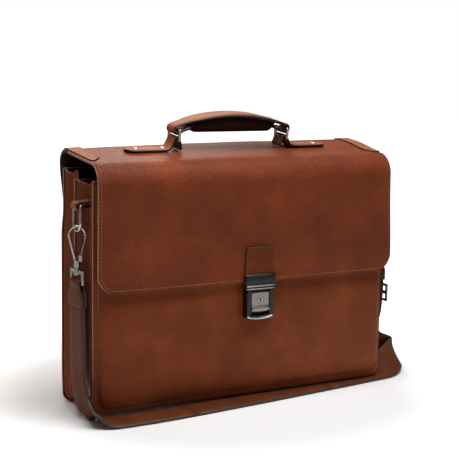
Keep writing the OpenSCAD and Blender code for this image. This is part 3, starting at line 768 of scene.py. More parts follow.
def build_end_strip(side):
    """Reinforcing strip across one end of the flap's top, its inner front corner cut off."""
    name = "right" if side > 0 else "left"
    outer = FLAP_MID + side * (FLAP_HALF - 1.2)
    width = 17
    s_start = S_REAR_TOP - 6
    s_end = S_FRONT_TOP - 3
    rows = [s_start, s_start + 0.8] + flap_rows(s_start + 3, s_end - 3, 3) + [s_end - 0.8, s_end]

    def place(s, v, depth):
        cut = max(0.0, (s - (s_end - 15)) / 15)
        inner = width - cut * (width - 5)
        x = outer - side * inner * v
        share = (x - FLAP_MID) / FLAP_HALF
        return flap_point(share, s, depth)

    piece = slab("flap_end_strip_" + name, rows, steps(0.0, 1.0, 5, edge=0.05),
                 lambda s, v: place(s, v, -1.7), lambda s, v: place(s, v, -0.02), [TRIM, TRIM, EDGE_DARK])
    fit(piece, "trim_leather", "flap_top")
    line = [(s, 0.86) for s in rows[2:-4]]
    inner_seam = [place(s, v, -1.7) for s, v in line]
    thread = stitch_line("flap_end_strip_stitching_" + name, [(inner_seam, [UP] * len(inner_seam))], THREAD,
                         pitch=3.4, length=2.4, radius=0.34)
    fit(thread, "trim_leather", "flap_top")
    return piece


# ---- handle ----
GRIP_TOP = 45.0
GRIP_RISE = GRIP_TOP - RING_HIGH - 6
GRIP_R = (RING_X**2 + GRIP_RISE**2) / (2 * GRIP_RISE)
GRIP_HALF = 59.0
GRIP_H = 19.0


def arch(x):
    """Height of the handle's top line above the flap."""
    return GRIP_TOP - GRIP_R + math.sqrt(GRIP_R**2 - x * x)


def build_handle():
    """Padded belly, then the strip over it with its ends turned round the rings."""
    sections, sides = 44, 28
    verts = []
    for i in range(sections + 1):
        u = -1 + 2 * i / sections
        x = GRIP_HALF * math.copysign(abs(u) ** 0.9, u)
        near_end = 1 - abs(u)
        swell = (1 - (1 - min(1.0, near_end / 0.22)) ** 2.4) if near_end < 0.22 else 1.0
        top = arch(x) - 2.2
        floor_w = GRIP_TOP - 2.5 - GRIP_H
        depth = max(0.6, (top - floor_w) * max(0.05, swell))
        half = 10.2 * (0.74 + 0.26 * swell) * (1 - 0.06 * abs(u))
        for j in range(sides):
            a = 2 * math.pi * j / sides
            c, s = math.cos(a), math.sin(a)
            v = half * math.copysign(abs(c) ** 0.72, c)
            w = top - depth / 2 + depth / 2 * math.copysign(abs(s) ** 0.80, s)
            v += 0.12 * wave(x, v, w, 12)
            verts.append(on_flap(x, v, w))
    grip = fix_normals(new_mesh("handle_grip_padded", verts, tube_faces(sections + 1, sides), [GRIP]))
    fit(grip, "grip_leather", "handle", "handle_grip")
    under = arc(RING_X, RING_HIGH, 4.7, -math.pi * 0.62, math.pi * 0.42, 14)
    tail = [(16, 1.8), (11, 0.2), (6.0, -1.6)]
    half_path = [(RING_X - inward, RING_HIGH + up) for inward, up in tail]
    half_path += under
    top_x = np.linspace(RING_X - 2.0, 0, 22)
    half_path += [(x, arch(x) - 1.3 + 0.2 * (1 - smooth((RING_X - x) / 8))) for x in top_x]
    right = half_path
    left = [(-x, w) for x, w in reversed(half_path[:-1])]
    path = right + left
    points = [on_flap(x, 0, w) for x, w in path]
    widths = [lerp(13.4, 9.8, smooth((abs(x) - 40) / 28)) for x, w in path]
    thick = [2.6 if abs(x) > 50 else lerp(3.4, 2.6, smooth((abs(x) - 20) / 30)) for x, w in path]
    strip = ribbon("handle_top_leather", points, [REARWARD] * len(points), widths, thick,
                   [TRIM, TRIM, EDGE_DARK], crown=1.3)
    fit(strip, "trim_leather", "handle", "handle_top_strip")
    seams = []
    for row in (-1, 1):
        pts = [on_flap(x, row * (lerp(13.4, 9.8, smooth((abs(x) - 40) / 28)) - 2.3), arch(x) + 0.7)
               for x in np.linspace(-RING_X + 8, RING_X - 8, 60)]
        seams.append((pts, [UP] * len(pts)))
    thread = stitch_line("handle_stitching", seams, THREAD, pitch=3.4, length=2.4, radius=0.34)
    fit(thread, "trim_leather", "handle")


# ---- body ----
def pouch_path(inset, t, top, base):
    """Point on the U-shaped outline of a compartment, inset from its outside. t runs 0 to 1 round the U."""
    r = CORNER_R + 3
    half = HALF_W
    side_len = top - base - r
    arc_len = math.pi / 2 * r
    bottom_len = 2 * (half - r)
    total = 2 * side_len + 2 * arc_len + bottom_len
    d = t * total
    if d <= side_len:
        return Vector((-half + inset, 0, top - d)), Vector((-1, 0, 0))
    d -= side_len
    if d <= arc_len:
        a = math.pi + d / r
        n = Vector((math.cos(a), 0, math.sin(a)))
        return Vector((-half + r, 0, base + r)) + n * (r - inset), n
    d -= arc_len
    if d <= bottom_len:
        return Vector((-half + r + d, 0, base + inset)), Vector((0, 0, -1))
    d -= bottom_len
    if d <= arc_len:
        a = -math.pi / 2 + d / r
        n = Vector((math.cos(a), 0, math.sin(a)))
        return Vector((half - r, 0, base + r)) + n * (r - inset), n
    d -= arc_len
    return Vector((half - inset, 0, base + r + d)), Vector((1, 0, 0))


def pouch_rows(top, base, gap=5.0):
    r = CORNER_R + 3
    total = 2 * (top - base - r) + math.pi * r + 2 * (HALF_W - r)
    marks = []
    d = 0.0
    corner = [(top - base - r - 2, top - base - r + math.pi / 2 * r + 2)]
    corner.append((total - corner[0][1], total - corner[0][0]))
    while d < total:
        marks.append(d / total)
        d += 1.8 if any(a <= d <= b for a, b in corner) else gap
    return [0.0, 0.8 / total] + marks[1:] + [1 - 0.8 / total, 1.0]


def rear_spread(z):
    """How far the filled rear compartment bulges back, below the flap's seam."""
    return 5.2 * smooth((STRIP_LOW.z + 6 - z) / 34) * (0.55 + 0.45 * smooth(z / 40))


def no_spread(z):
    return 0.0


def build_gusset(name, node, y_rear, y_front, top, base, fold, spread=no_spread, slot_name="body_leather"):
    """End gusset: two sewn ridges with a soft fold sunk between them, running down one end, under and up."""
    half_knots, half_depths = [0.0, 0.05, 0.10, 0.15, 0.20, 0.28, 0.40], [3.2, 0.9, 0.5, 0.9, 2.3, 4.2, 7.0]
    knots = half_knots + [0.5] + [1 - k for k in reversed(half_knots)]
    depths = half_depths + [8.2] + half_depths[::-1]
    vs = sorted(set(knots + [lerp(a, b, 0.5) for a, b in zip(knots, knots[1:])]))
    rows = pouch_rows(top, base)

    def sunk(t, v):
        depth = float(np.interp(v, knots, depths))
        p, n = pouch_path(0, t, top, base)
        on_end = abs(n.x)
        height = smooth((p.z - base) / 60)
        keep = lerp(0.18, 1.0, on_end * height)
        soft = 1.0 + 0.25 * wave(p.x, p.z, y_rear, 38)
        if depth > 3:
            depth = 3 + (depth - 3) * fold * keep * soft
        crease = 0.5 * wave(p.z, v * 30, p.x, 16) * smooth((depth - 1) / 4) * on_end
        return depth + crease

    def face(t, v, extra=0.0):
        dip = 6 * math.sin(math.pi * v)
        p = pouch_path(min(sunk(t, v) + extra, CORNER_R), t, top - dip, base)[0]
        return Vector((p.x, lerp(y_rear + spread(p.z), y_front, v), p.z))

    # The rims take the lightened edge colour, a painted highlight along the gusset ridges.
    piece = slab(name, rows, vs, face, lambda t, v: face(t, v, 1.9), [BODY, SUEDE, EDGE_BROWN_HIGHLIT])
    fit(piece, slot_name, "root", node)
    seams = []
    for v in (0.10, 0.90):
        for start, end in ((0.004, 0.27), (0.73, 0.996)):
            pts, normals = [], []
            for t in np.linspace(start, end, 71):
                p, n = pouch_path(0.5, t, top, base)
                pts.append(Vector((p.x, lerp(y_rear + spread(p.z), y_front, v), p.z)))
                normals.append(n)
            seams.append((pts, normals))
    thread = stitch_line(name + "_stitching", seams, THREAD, pitch=3.8, length=2.7, radius=0.36)
    fit(thread, slot_name, "root")


def panel_rows(low, high, r):
    rows = [low + r * (1 - math.cos(a * math.pi / 2 / 8)) for a in range(0, 9)]
    rows[1:1] = [low + 0.12]
    count = max(2, round((high - low - r) / 7))
    rows += [lerp(low + r, high, i / count) for i in range(1, count)] + [high - 0.8, high]
    return rows


def panel_half(z, low, r, half):
    """Half a panel's width at a height; it narrows round the bottom corners."""
    from_base = z - low
    if from_base >= r:
        return half
    return half - r + math.sqrt(max(0.0, r * r - (r - from_base) ** 2))


def build_panel(name, node, y_out, y_in, low, high, crown, materials, half=HALF_W, spread=no_spread):
    """Upright leather panel whose outer face swells gently; its bottom corners are round."""
    sign = 1 if y_out > y_in else -1
    rows = panel_rows(low, high, CORNER_R)

    def face(z, v):
        x = v * panel_half(z, low, CORNER_R, half)
        height = min(1, max(0, (z - low) / (high - low)))
        swell = (1 - (abs(x) / half) ** 4) * math.sin(math.pi * height) ** 0.6
        y = y_out + spread(z) + sign * (crown * swell + 0.25 * wave(x, 0, z, 60) * swell)
        return Vector((x, y, z))

    def back(z, v):
        return Vector((v * panel_half(z, low, CORNER_R, half), y_in + spread(z), z))

    piece = slab(name, rows, steps(-1.0, 1.0, 48, edge=0.004), face, back, materials)
    fit(piece, "body_leather", "root", node)
    return piece


def outline_seam(low, high, r, inset, y, half, normal, spread=no_spread):
    """Seam down one side of a panel, along its bottom and up the other side."""
    side = half - inset
    straight = half - r
    line = [(-side, lerp(high, low + r, i / 60)) for i in range(61)]
    line += arc(-straight, low + r, r - inset, math.pi, math.pi * 1.5, 12)[1:-1]
    line += [(x, low + inset) for x in np.linspace(-straight, straight, 90)]
    line += arc(straight, low + r, r - inset, -math.pi / 2, 0, 12)[1:-1]
    line += [(side, lerp(low + r, high, i / 60)) for i in range(61)]
    return [Vector((x, y + spread(z), z)) for x, z in line], [normal] * len(line)


POCKET_HALF = POCKET_HIGH.x
POCKET_R = 15


def pocket_swell(x, z):
    """How far the soft front pocket stands ahead of the front panel."""
    deep = RIM_Y - POCKET_LOW.y
    half = panel_half(z, POCKET_LOW.z, POCKET_R, POCKET_HALF)
    side = max(0.0, half - abs(x))
    base = max(0.0, z - POCKET_LOW.z)
    roll_side = math.sqrt(1 - (1 - min(side / 11, 1)) ** 2)
    roll_base = math.sqrt(1 - (1 - min(base / 20, 1)) ** 2)
    roll = roll_side * roll_base
    crown = (1 - (abs(x) / POCKET_HALF) ** 3) * smooth(base / 60)
    free = 1 - smooth((z - (DROP_LOW.z - 25)) / 30)
    near_lock = math.exp(-(((x - LOCK_X) / 46) ** 2) - ((z - 118) / 42) ** 2)
    body = deep - 1.0 + 2.6 * crown * (0.35 + 0.65 * free) * (1 - near_lock) + 0.4 * crown
    body += 0.55 * wave(x, z, 5.0, 75) * smooth(base / 40) * free * (1 - near_lock)
    body -= 3.2 * math.exp(-(((z - DROP_LOW.z + 3) / 13) ** 2)) * (1 - near_lock)
    return 2.2 + (body - 2.2) * roll


def build_pocket():
    rows = panel_rows(POCKET_LOW.z, POCKET_HIGH.z, POCKET_R)
    rows = sorted(set(rows + [POCKET_LOW.z + d for d in (3, 6, 9, 12, 15, 21, 26, 32)]))
    xs = [-1, -0.996, -0.985, -0.97, -0.95]
    xs += [lerp(-0.93, 0.93, i / 64) for i in range(65)]
    xs += [0.95, 0.97, 0.985, 0.996, 1]

    def face(z, v):
        x = v * panel_half(z, POCKET_LOW.z, POCKET_R, POCKET_HALF)
        return Vector((x, RIM_Y - 0.1 - pocket_swell(x, z), z))

    def back(z, v):
        x = v * panel_half(z, POCKET_LOW.z, POCKET_R, POCKET_HALF)
        return Vector((x, RIM_Y - 0.1 - max(0.0, pocket_swell(x, z) - 2.1), z))

    # The pocket's rim takes the lightened edge colour, a painted highlight along its rounded edge.
    piece = slab("front_pocket_leather", rows, xs, face, back, [PANEL, SUEDE, EDGE_BROWN_HIGHLIT])
    fit(piece, "body_leather", "root", "front_pocket")


def build_body():
    build_gusset("rear_gusset_leather", "rear_gusset", REAR_GUSSET_HIGH.y + 0.1, REAR_GUSSET_LOW.y - 0.1,
                 REAR_GUSSET_HIGH.z, REAR_GUSSET_LOW.z, 0.9, spread=rear_spread)
    build_gusset("front_gusset_leather", "front_gusset", FRONT_GUSSET_HIGH.y + 0.1, FRONT_GUSSET_LOW.y - 0.1,
                 FRONT_GUSSET_HIGH.z, FRONT_GUSSET_LOW.z, 1.0)
    # The panel rims take the lightened edge colour, a painted highlight along their rounded edges.
    build_panel("back_leather", "back_panel", BACK_HIGH.y, BACK_LOW.y, BACK_LOW.z, BACK_HIGH.z, 1.6,
                [PANEL, SUEDE, EDGE_BROWN_HIGHLIT], spread=rear_spread)
    build_panel("front_leather", "front_panel", FRONT_LOW.y, FRONT_HIGH.y, FRONT_LOW.z, FRONT_HIGH.z, 0.0,
                [PANEL, SUEDE, EDGE_BROWN_HIGHLIT])
    build_panel("divider_leather", "divider_panel", DIVIDER_LOW.y, DIVIDER_HIGH.y, DIVIDER_LOW.z,
                DIVIDER_HIGH.z, 0.0, [PANEL, SUEDE, EDGE_BROWN_HIGHLIT], half=HALF_W + 0.4)
    build_pocket()
    seams = [outline_seam(FRONT_LOW.z, FRONT_HIGH.z - 2, CORNER_R, 3.4, FRONT_LOW.y - 0.1, HALF_W,
                          Vector((0, -1, 0)))]
    seams.append(outline_seam(BACK_LOW.z, STRIP_LOW.z - 2, CORNER_R, 3.6, BACK_HIGH.y + 0.1, HALF_W,
                              Vector((0, 1, 0)), spread=rear_spread))
    thread = stitch_line("body_stitching", seams, THREAD)
    fit(thread, "body_leather", "root")


def build_lining(name, node):
    """Loose cotton bag hanging inside one compartment."""
    low, high = box_mm(node)
    rows = [low.z, low.z + 1.5] + [lerp(low.z + 6, high.z - 1, i / 26) for i in range(27)] + [high.z]
    cx, cy = (low.x + high.x) / 2, (low.y + high.y) / 2
    hx, hy = (high.x - low.x) / 2 - 0.3, (high.y - low.y) / 2 - 0.3
    r = min(9.0, hy - 1)
    outline = []
    for qx, qy, a0 in ((1, 1, 0), (-1, 1, 90), (-1, -1, 180), (1, -1, 270)):
        for i in range(7):
            a = math.radians(a0 + 90 * i / 6)
            outline.append((cx + qx * (hx - r) + r * math.cos(a), cy + qy * (hy - r) + r * math.sin(a)))
        if qy == qx:
            for i in range(1, 30):
                outline.append((cx + qx * lerp(hx - r, -(hx - r), i / 30), cy + qy * hy))
    verts = []
    wall = 0.8
    for skin in (0, 1):
        for z in rows if skin == 0 else reversed(rows):
            for x, y in outline:
                nx, ny = (x - cx) / hx, (y - cy) / hy
                pull = 0.5 + 0.5 * wave(x, z, cy, 22)
                inset = skin * wall + pull * 0.9 * smooth((z - low.z) / 30)
                zz = z + skin * wall if z == low.z else z
                verts.append((x - nx * inset, y - math.copysign(min(1, abs(ny) ** 3), ny) * inset, zz))
    piece = fix_normals(new_mesh(name, verts, tube_faces(2 * len(rows), len(outline)), [CLOTH]))
    fit(piece, "lining_cloth", "root", node)


# ---- lock ----
def lock_loop(half, low, high, sag, corner=1.5):
    """Upright outline with a curved lower edge, anticlockwise from the lower left."""
    loop = []
    for i in range(17):
        t = -1 + 2 * i / 16
        loop.append((LOCK_X + t * half, low + sag * t * t))
    loop += [(LOCK_X + half, lerp(low + sag, high - corner, i / 6)) for i in range(1, 7)]
    for i in range(1, 5):
        a = math.pi / 2 * i / 4
        loop.append((LOCK_X + half - corner + corner * math.cos(a), high - corner + corner * math.sin(a)))
    loop += [(LOCK_X + lerp(half - corner, -half + corner, i / 8), high) for i in range(1, 8)]
    for i in range(0, 5):
        a = math.pi / 2 + math.pi / 2 * i / 4
        loop.append((LOCK_X - half + corner + corner * math.cos(a), high - corner + corner * math.sin(a)))
    loop += [(LOCK_X - half, lerp(high - corner, low + sag, i / 6)) for i in range(1, 6)]
    return loop


def build_lock():
    half = (HOUSING_HIGH.x - HOUSING_LOW.x) / 2
    low = HOUSING_LOW.z
    top = 131.0
    outer = lock_loop(half, low, top, 2.4)
    inner = lock_loop(12.3, low + 4.4, top - 0.6, 0.8, corner=0.8)
    rim = ring_prism("lock_frame", outer, inner, HOUSING_LOW.y, HOUSING_HIGH.y, [GUNMETAL])
    floor = prism("lock_recess", lock_loop(12.8, low + 3.6, top - 0.5, 0.8, corner=0.8), HOUSING_LOW.y + 5.0,
                  HOUSING_LOW.y + 6.6, [SHADOW_METAL], bevel=0.2)
    lip_path = [Vector((x, HOUSING_LOW.y - 0.1, z + 1.1)) for x, z in outer[:17]]
    lower_lip = ribbon("lock_lower_lip", lip_path, [Vector((0, 0, 1))] * len(lip_path), 1.1, 1.2,
                       [BRIGHT, BRIGHT, BRIGHT], round_edge=0.4)
    for piece in (rim, floor, lower_lip):
        fit(piece, "gunmetal", "root")
    receiver = prism("lock_receiver", lock_loop(12.8, top - 0.6, HOUSING_HIGH.z - 0.3, 0.0, corner=0.8),
                     box_mm("lock_lug")[0].y - 0.2, HOUSING_HIGH.y, [SHADOW_METAL], bevel=0.3)
    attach(receiver, "root")
    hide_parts("lock_housing")
    return rim


def keyhole_loop(centre):
    """Keyhole outline: a round head over a narrow slot."""
    loop = [(centre.x + 1.1 * math.cos(a), centre.z + 0.5 + 1.1 * math.sin(a))
            for a in np.linspace(-0.3 * math.pi, 1.3 * math.pi, 15)]
    return loop + [(centre.x - 0.5, centre.z - 1.9), (centre.x + 0.5, centre.z - 1.9)]


def build_spring():
    """Compression coil under the slider."""
    low, high = box_mm("lock_spring")
    wire = 0.4
    radius = (high.x - low.x) / 2 - wire
    turns, per_turn, sides = 4, 20, 8
    verts = []
    count = turns * per_turn
    for i in range(count + 1):
        a = 2 * math.pi * i / per_turn
        z = lerp(low.z + wire, high.z - wire, i / count)
        for j in range(sides):
            b = 2 * math.pi * j / sides
            r = radius + wire * math.cos(b)
            verts.append(((low.x + high.x) / 2 + r * math.cos(a), (low.y + high.y) / 2 + r * math.sin(a),
                          z + wire * math.sin(b)))
    coil = fix_normals(new_mesh("lock_spring_coil", verts, tube_faces(count + 1, sides), [NICKEL]))
    fit(coil, "nickel", "root", "lock_spring")
    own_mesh(coil)


def build_thumb_plate():
    """Plate with a flat upper face, a keyhole rose and a raised, rounded lower lip for the thumb."""
    half = (THUMB_HIGH.x - THUMB_LOW.x) / 2 - 0.1
    face = box_mm("key_plug")[0].y + 0.3
    lip = THUMB_LOW.y
    xs = steps(-half, half, 12, edge=0.5)
    low, high = THUMB_LOW.z + 0.2, THUMB_HIGH.z - 1.2
    zs = [low, low + 0.5, low + 1.6, low + 3, low + 4.8, low + 6.4, low + 7.4, low + 8.0, low + 8.5, low + 10,
          low + 14, low + 18, high - 2, high - 0.5, high]

    def depth(x, z):
        crest = 7.4 - 1.3 * (x / half) ** 2
        rise = math.sin(math.pi * min(1.0, max(0.0, (z - low) / crest)) * 0.93) if z - low < crest else 0.0
        return lerp(face, lip - 0.3, rise**0.8 if rise > 0 else 0.0)

    def front(z, x):
        curve = 0.8 * (x / half) ** 2 * (1 - smooth((z - low) / 5))
        return Vector((LOCK_X + x, depth(x, z), z + curve))

    # The face takes the darker nickel copy, a painted dark reflection.
    piece = slab("thumb_plate_face", zs, xs, front, lambda z, x: Vector((LOCK_X + x, face + 1.6, z)),
                 [PLATE_DARKENED, NICKEL, NICKEL], bulge=0.15)
    fit(piece, "nickel", "thumb_slide", "thumb_plate")
    plug_low, plug_high = box_mm("key_plug")
    centre = (plug_low + plug_high) / 2
    r = (plug_high.x - plug_low.x) / 2
    verts, faces = [], []
    rows = [(r + 0.15, 0.35), (r + 0.35, -0.25), (r + 0.8, -0.45), (r + 1.25, -0.2), (r + 1.4, 0.35)]
    for radius, out in rows:
        for i in range(32):
            a = 2 * math.pi * i / 32
            verts.append((centre.x + radius * math.cos(a), face + out, centre.z + radius * math.sin(a)))
    for k in range(len(rows)):
        for i in range(32):
            j = (i + 1) % 32
            k2 = (k + 1) % len(rows)
            faces.append((k * 32 + i, k * 32 + j, k2 * 32 + j, k2 * 32 + i))
    slot = prism("keyhole_slot", keyhole_loop(centre), plug_low.y - 0.12, plug_low.y + 0.4, [SHADOW_METAL],
                 bevel=0.05)
    fit(slot, "gunmetal", "key_plug")
    rose = fix_normals(new_mesh("keyhole_rose", verts, faces, [NICKEL]))
    fit(rose, "nickel", "thumb_slide")


def build_lock_flap_side():
    """Leather tab on the flap and the dark metal cap over its lower end."""
    half_top, half_low = 17.2, (TAB_HIGH.x - TAB_LOW.x) / 2
    rows = [TAB_LOW.z, TAB_LOW.z + 0.8] + [lerp(TAB_LOW.z + 3, TAB_HIGH.z - 5, i / 8) for i in range(9)]
    rows += [TAB_HIGH.z - d for d in (4.0, 3.0, 2.0, 1.0, 0.4, 0.0)]

    def half_at(z):
        half = lerp(half_low, half_top, (z - TAB_LOW.z) / (TAB_HIGH.z - TAB_LOW.z))
        d = TAB_HIGH.z - z
        return half - (4 - math.sqrt(max(0.0, 16 - (4 - d) ** 2)) if d < 4 else 0.0)

    def tab_face(z, v):
        return Vector((LOCK_X + v * half_at(z), TAB_LOW.y - 0.5 - 0.5 * (1 - v * v), z))

    def tab_back(z, v):
        return Vector((LOCK_X + v * half_at(z), TAB_HIGH.y + 0.3, z))

    tab = slab("lock_tab_leather", rows, steps(-1.0, 1.0, 10, edge=0.05), tab_face, tab_back,
               [TRIM_DARK, TRIM_DARK, EDGE_DARK])
    fit(tab, "body_leather", "flap_front", "lock_tab")
    half = (CAP_HIGH.x - CAP_LOW.x) / 2
    xs = steps(-half, half, 12, edge=0.6)
    low, high = CAP_LOW.z, CAP_HIGH.z
    section = [(low, 1.2), (low + 0.5, 0.35), (low + 1.4, 0.0), (low + 2.3, 0.35), (low + 2.7, 1.1),
               (low + 3.4, 1.2), (low + 3.8, 0.5), (low + 4.6, 0.1), (low + 5.4, 0.45), (low + 6.0, 0.55),
               (low + 10, 0.2), (high - 2.4, 0.25), (high - 0.9, 0.7), (high, 1.9)]
    ins = dict(section)

    def cap_y(z, x):
        curve = 0.9 * (abs(x) / half) ** 6
        return CAP_LOW.y + ins[z] + curve

    cap = slab("lock_cap_metal", list(ins), xs, lambda z, x: Vector((LOCK_X + x, cap_y(z, x), z)),
               lambda z, x: Vector((LOCK_X + x, CAP_HIGH.y, z)), [GUNMETAL, SHADOW_METAL, GUNMETAL],
               bulge=0.1)
    fit(cap, "gunmetal", "flap_front", "lock_cap")
    for k, z in enumerate((low + 1.4, low + 4.6)):
        lip_xs = np.linspace(-half + 0.8, half - 0.8, 14)
        path = [Vector((LOCK_X + x, cap_y(low + 1.4, x) - 0.15, z)) for x in lip_xs]
        lip = ribbon("lock_cap_lip_" + str(k + 1), path, [Vector((0, 0, 1))] * len(path), 0.75, 0.9,
                     [NICKEL, NICKEL, NICKEL], round_edge=0.5)
        fit(lip, "nickel", "flap_front")


# ---- side hardware ----
def build_chape(side):
    """Leather tongue that comes out of the gusset, turns round the D-ring's bar and goes back."""
    name = "right" if side > 0 else "left"
    inner = SIDE_X - (FRONT_GUSSET_HIGH.x - 3)
    path = [(-inner - 1.5, 5.2), (-inner + 2.0, 5.0), (-8.0, 4.4), (-5.0, 3.9)]
    path += arc(0, 0, 3.9, math.pi * 0.62, -math.pi * 0.62, 16)
    path += [(-5.0, -3.9), (-8.0, -3.8), (-inner + 2.0, -3.2), (-inner - 1.5, -3.0)]
    points = [Vector((side * (SIDE_X + x), SIDE_Y, BAR_Z + z)) for x, z in path]
    widths = [lerp(7.6, 9.5, smooth((-6 - x) / 6)) for x, z in path]
    piece = ribbon("dring_chape_leather_" + name, points, [Vector((0, 1, 0))] * len(points), widths, 2.3,
                   [TRIM, TRIM, EDGE_DARK])
    fit(piece, "trim_leather", "root", "dring_chape_" + name)


def strap_sections():
    """Cross-sections of the CAD strap, walked from its left end to its right: centre and width direction."""
    mesh = frame["nodes"]["shoulder_strap"].data
    places = {}
    index = {}
    for vert in mesh.vertices:
        key = tuple(round(c * 20000) for c in vert.co)
        places.setdefault(key, vert.co / MM)
        index[vert.index] = key
    near = {key: set() for key in places}
    for edge in mesh.edges:
        a, b = index[edge.vertices[0]], index[edge.vertices[1]]
        near[a].add(b)
        near[b].add(a)
    top = max(p.z for p in places.values())
    ring = {key for key, p in places.items() if p.z > top - 3 and p.x < 0}
    seen = set()
    sections = []
    across = Vector((0, 1, 0))
    while ring:
        corners = [places[key] for key in ring]
        centre = sum(corners, Vector()) / len(corners)
        spans = [b - a for a in corners for b in corners if (b - a).length > STRAP_HALF]
        aligned = [d if d.dot(across) > 0 else -d for d in spans]
        across = sum(aligned, Vector()).normalized()
        sections.append((centre, across))
        seen |= ring
        ring = {k for key in ring for k in near[key]} - seen
    return sections


def between(values, u):
    """Catmull-Rom value at u along a list of vectors."""
    last = len(values) - 1
    i = min(int(u), last - 1)
    p0, p1, p2, p3 = (values[min(max(k, 0), last)] for k in range(i - 1, i + 3))
    t = u - i
    return 0.5 * (2 * p1 + (p2 - p0) * t + (2 * p0 - 5 * p1 + 4 * p2 - p3) * t**2
                  + (3 * p1 - p0 - 3 * p2 + p3) * t**3)


STRAP_HALF = 19.0
STRAP_T = 3.4


def build_strap():
    """Three lengths that meet where the strap lies flat."""
    sections = strap_sections()
    centres = [c for c, _ in sections]
    widths = [w for _, w in sections]
    flat = [i for i, c in enumerate(centres) if c.z < STRAP_T]
    split_left = min(i for i in flat if centres[i].x > -100)
    split_right = min(i for i in flat if centres[i].x > 90)
    last = len(sections) - 1
    parts = [("shoulder_strap_left", 0, split_left, "dring_left"),
             ("shoulder_strap_floor", split_left, split_right, None),
             ("shoulder_strap_right", split_right, last, "dring_right")]
    for name, first, end, body in parts:
        us = [lerp(first, end, i / (2 * (end - first))) for i in range(2 * (end - first) + 1)]
        path = [between(centres, u) for u in us]
        across = [between(widths, u) for u in us]
        halves, thicks = [STRAP_HALF] * len(path), [STRAP_T] * len(path)
        if body is not None:
            side = -1 if "left" in body else 1
            tip = [Vector((side * (SIDE_X + 0.45), SIDE_Y, z)) for z in (132, 128, 124)]
            tip_halves, tip_thicks = [STRAP_HALF - 0.6] * 3, [1.2, 1.2, 1.3]
            if side < 0:
                path, across = tip + path, [across[0]] * 3 + across
                halves, thicks = tip_halves + halves, tip_thicks + thicks
            else:
                path, across = path + tip[::-1], across + [across[-1]] * 3
                halves, thicks = halves + tip_halves, thicks + tip_thicks[::-1]
        piece = ribbon(name, path, across, halves, thicks, [STRAP, STRAP, EDGE_STRAP], round_edge=0.3)
        for vert in piece.data.vertices:
            vert.co.z = max(vert.co.z, 0.0001)
        if body is None:
            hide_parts("shoulder_strap")
            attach(piece, "root")
        else:
            swing_with_strap(piece)


def swing_with_strap(piece):
    """Bakes the placement of a piece of the hanging strap into its mesh."""
    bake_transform(piece)


def build_adjuster():
    """The metal slide keeps its CAD shape, in a nickel copy of its mesh."""
    source = frame["nodes"]["strap_adjuster"]
    mesh = source.data.copy()
    mesh.materials.clear()
    mesh.materials.append(NICKEL)
    piece = bpy.data.objects.new("strap_adjuster_slide", mesh)
    bpy.context.scene.collection.objects.link(piece)
    piece.matrix_world = source.matrix_world.copy()
    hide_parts("strap_adjuster")
    swing_with_strap(piece)


def build_strap_end(side):
    """Strap's end folded round the swivel eye's bar, skived, narrowed and stitched across."""
    name = "right" if side > 0 else "left"
    low = box_mm("strap_end_" + name)[0]
    bar = 150.0
    path = [(2.3, low.z), (2.35, low.z + 1.2), (2.3, 132), (2.2, 138), (2.4, 143)]
    path += arc(0, bar, 3.5, -math.pi * 0.22, math.pi * 1.22, 16)
    path += [(-2.4, 143), (-1.6, 138), (-1.4, 132), (-1.4, low.z + 0.5)]
    points = [Vector((side * (SIDE_X + x), SIDE_Y, z)) for x, z in path]
    widths = []
    for x, z in path:
        if z > 145:
            widths.append(12.2)
        elif z > 137:
            widths.append(lerp(STRAP_HALF, 12.2, smooth((z - 137) / 8)))
        else:
            widths.append(STRAP_HALF)
    piece = ribbon("strap_end_leather_" + name, points, [Vector((0, 1, 0))] * len(points), widths, 2.3,
                   [STRAP, STRAP, EDGE_STRAP])
    fit(piece, "strap_leather", "dring_" + name, "strap_end_" + name)
    out = side * (SIDE_X + 3.5)
    normal = Vector((side, 0, 0))
    cross = [Vector((out, SIDE_Y + v, low.z + 2.6)) for v in np.linspace(-17, 17, 9)]
    upper = [Vector((out, SIDE_Y + v, low.z + 9)) for v in np.linspace(-17, 17, 9)]
    rows = [(cross, [normal] * 9), (upper, [normal] * 9)]
    thread = stitch_line("strap_end_stitching_" + name, rows, THREAD,
                         pitch=3.2, length=2.3, radius=0.36)
    fit(thread, "strap_leather", "dring_" + name)


# ---- finish of the CAD nodes that stay ----
def dress_cad_nodes():
    kept = {
        BRIGHT: [piece + side for piece in ("handle_ring", "hook", "gate", "dring")
                 for side in ("_left", "_right")],
        NICKEL: ["swivel_eye_left", "swivel_eye_right", "key_plug", "latch_slider", "lock_lug",
                 "lock_tab_rivets", "lock_rivets", "lock_back_plate"],
        BOARD: ["rear_base_board", "front_base_board"],
    }
    for material, names in kept.items():
        for name in names:
            data = frame["nodes"][name].data
            data.materials.clear()
            data.materials.append(material)


# ---- stage, light and camera ----
ROOM_LIGHT = 0.06


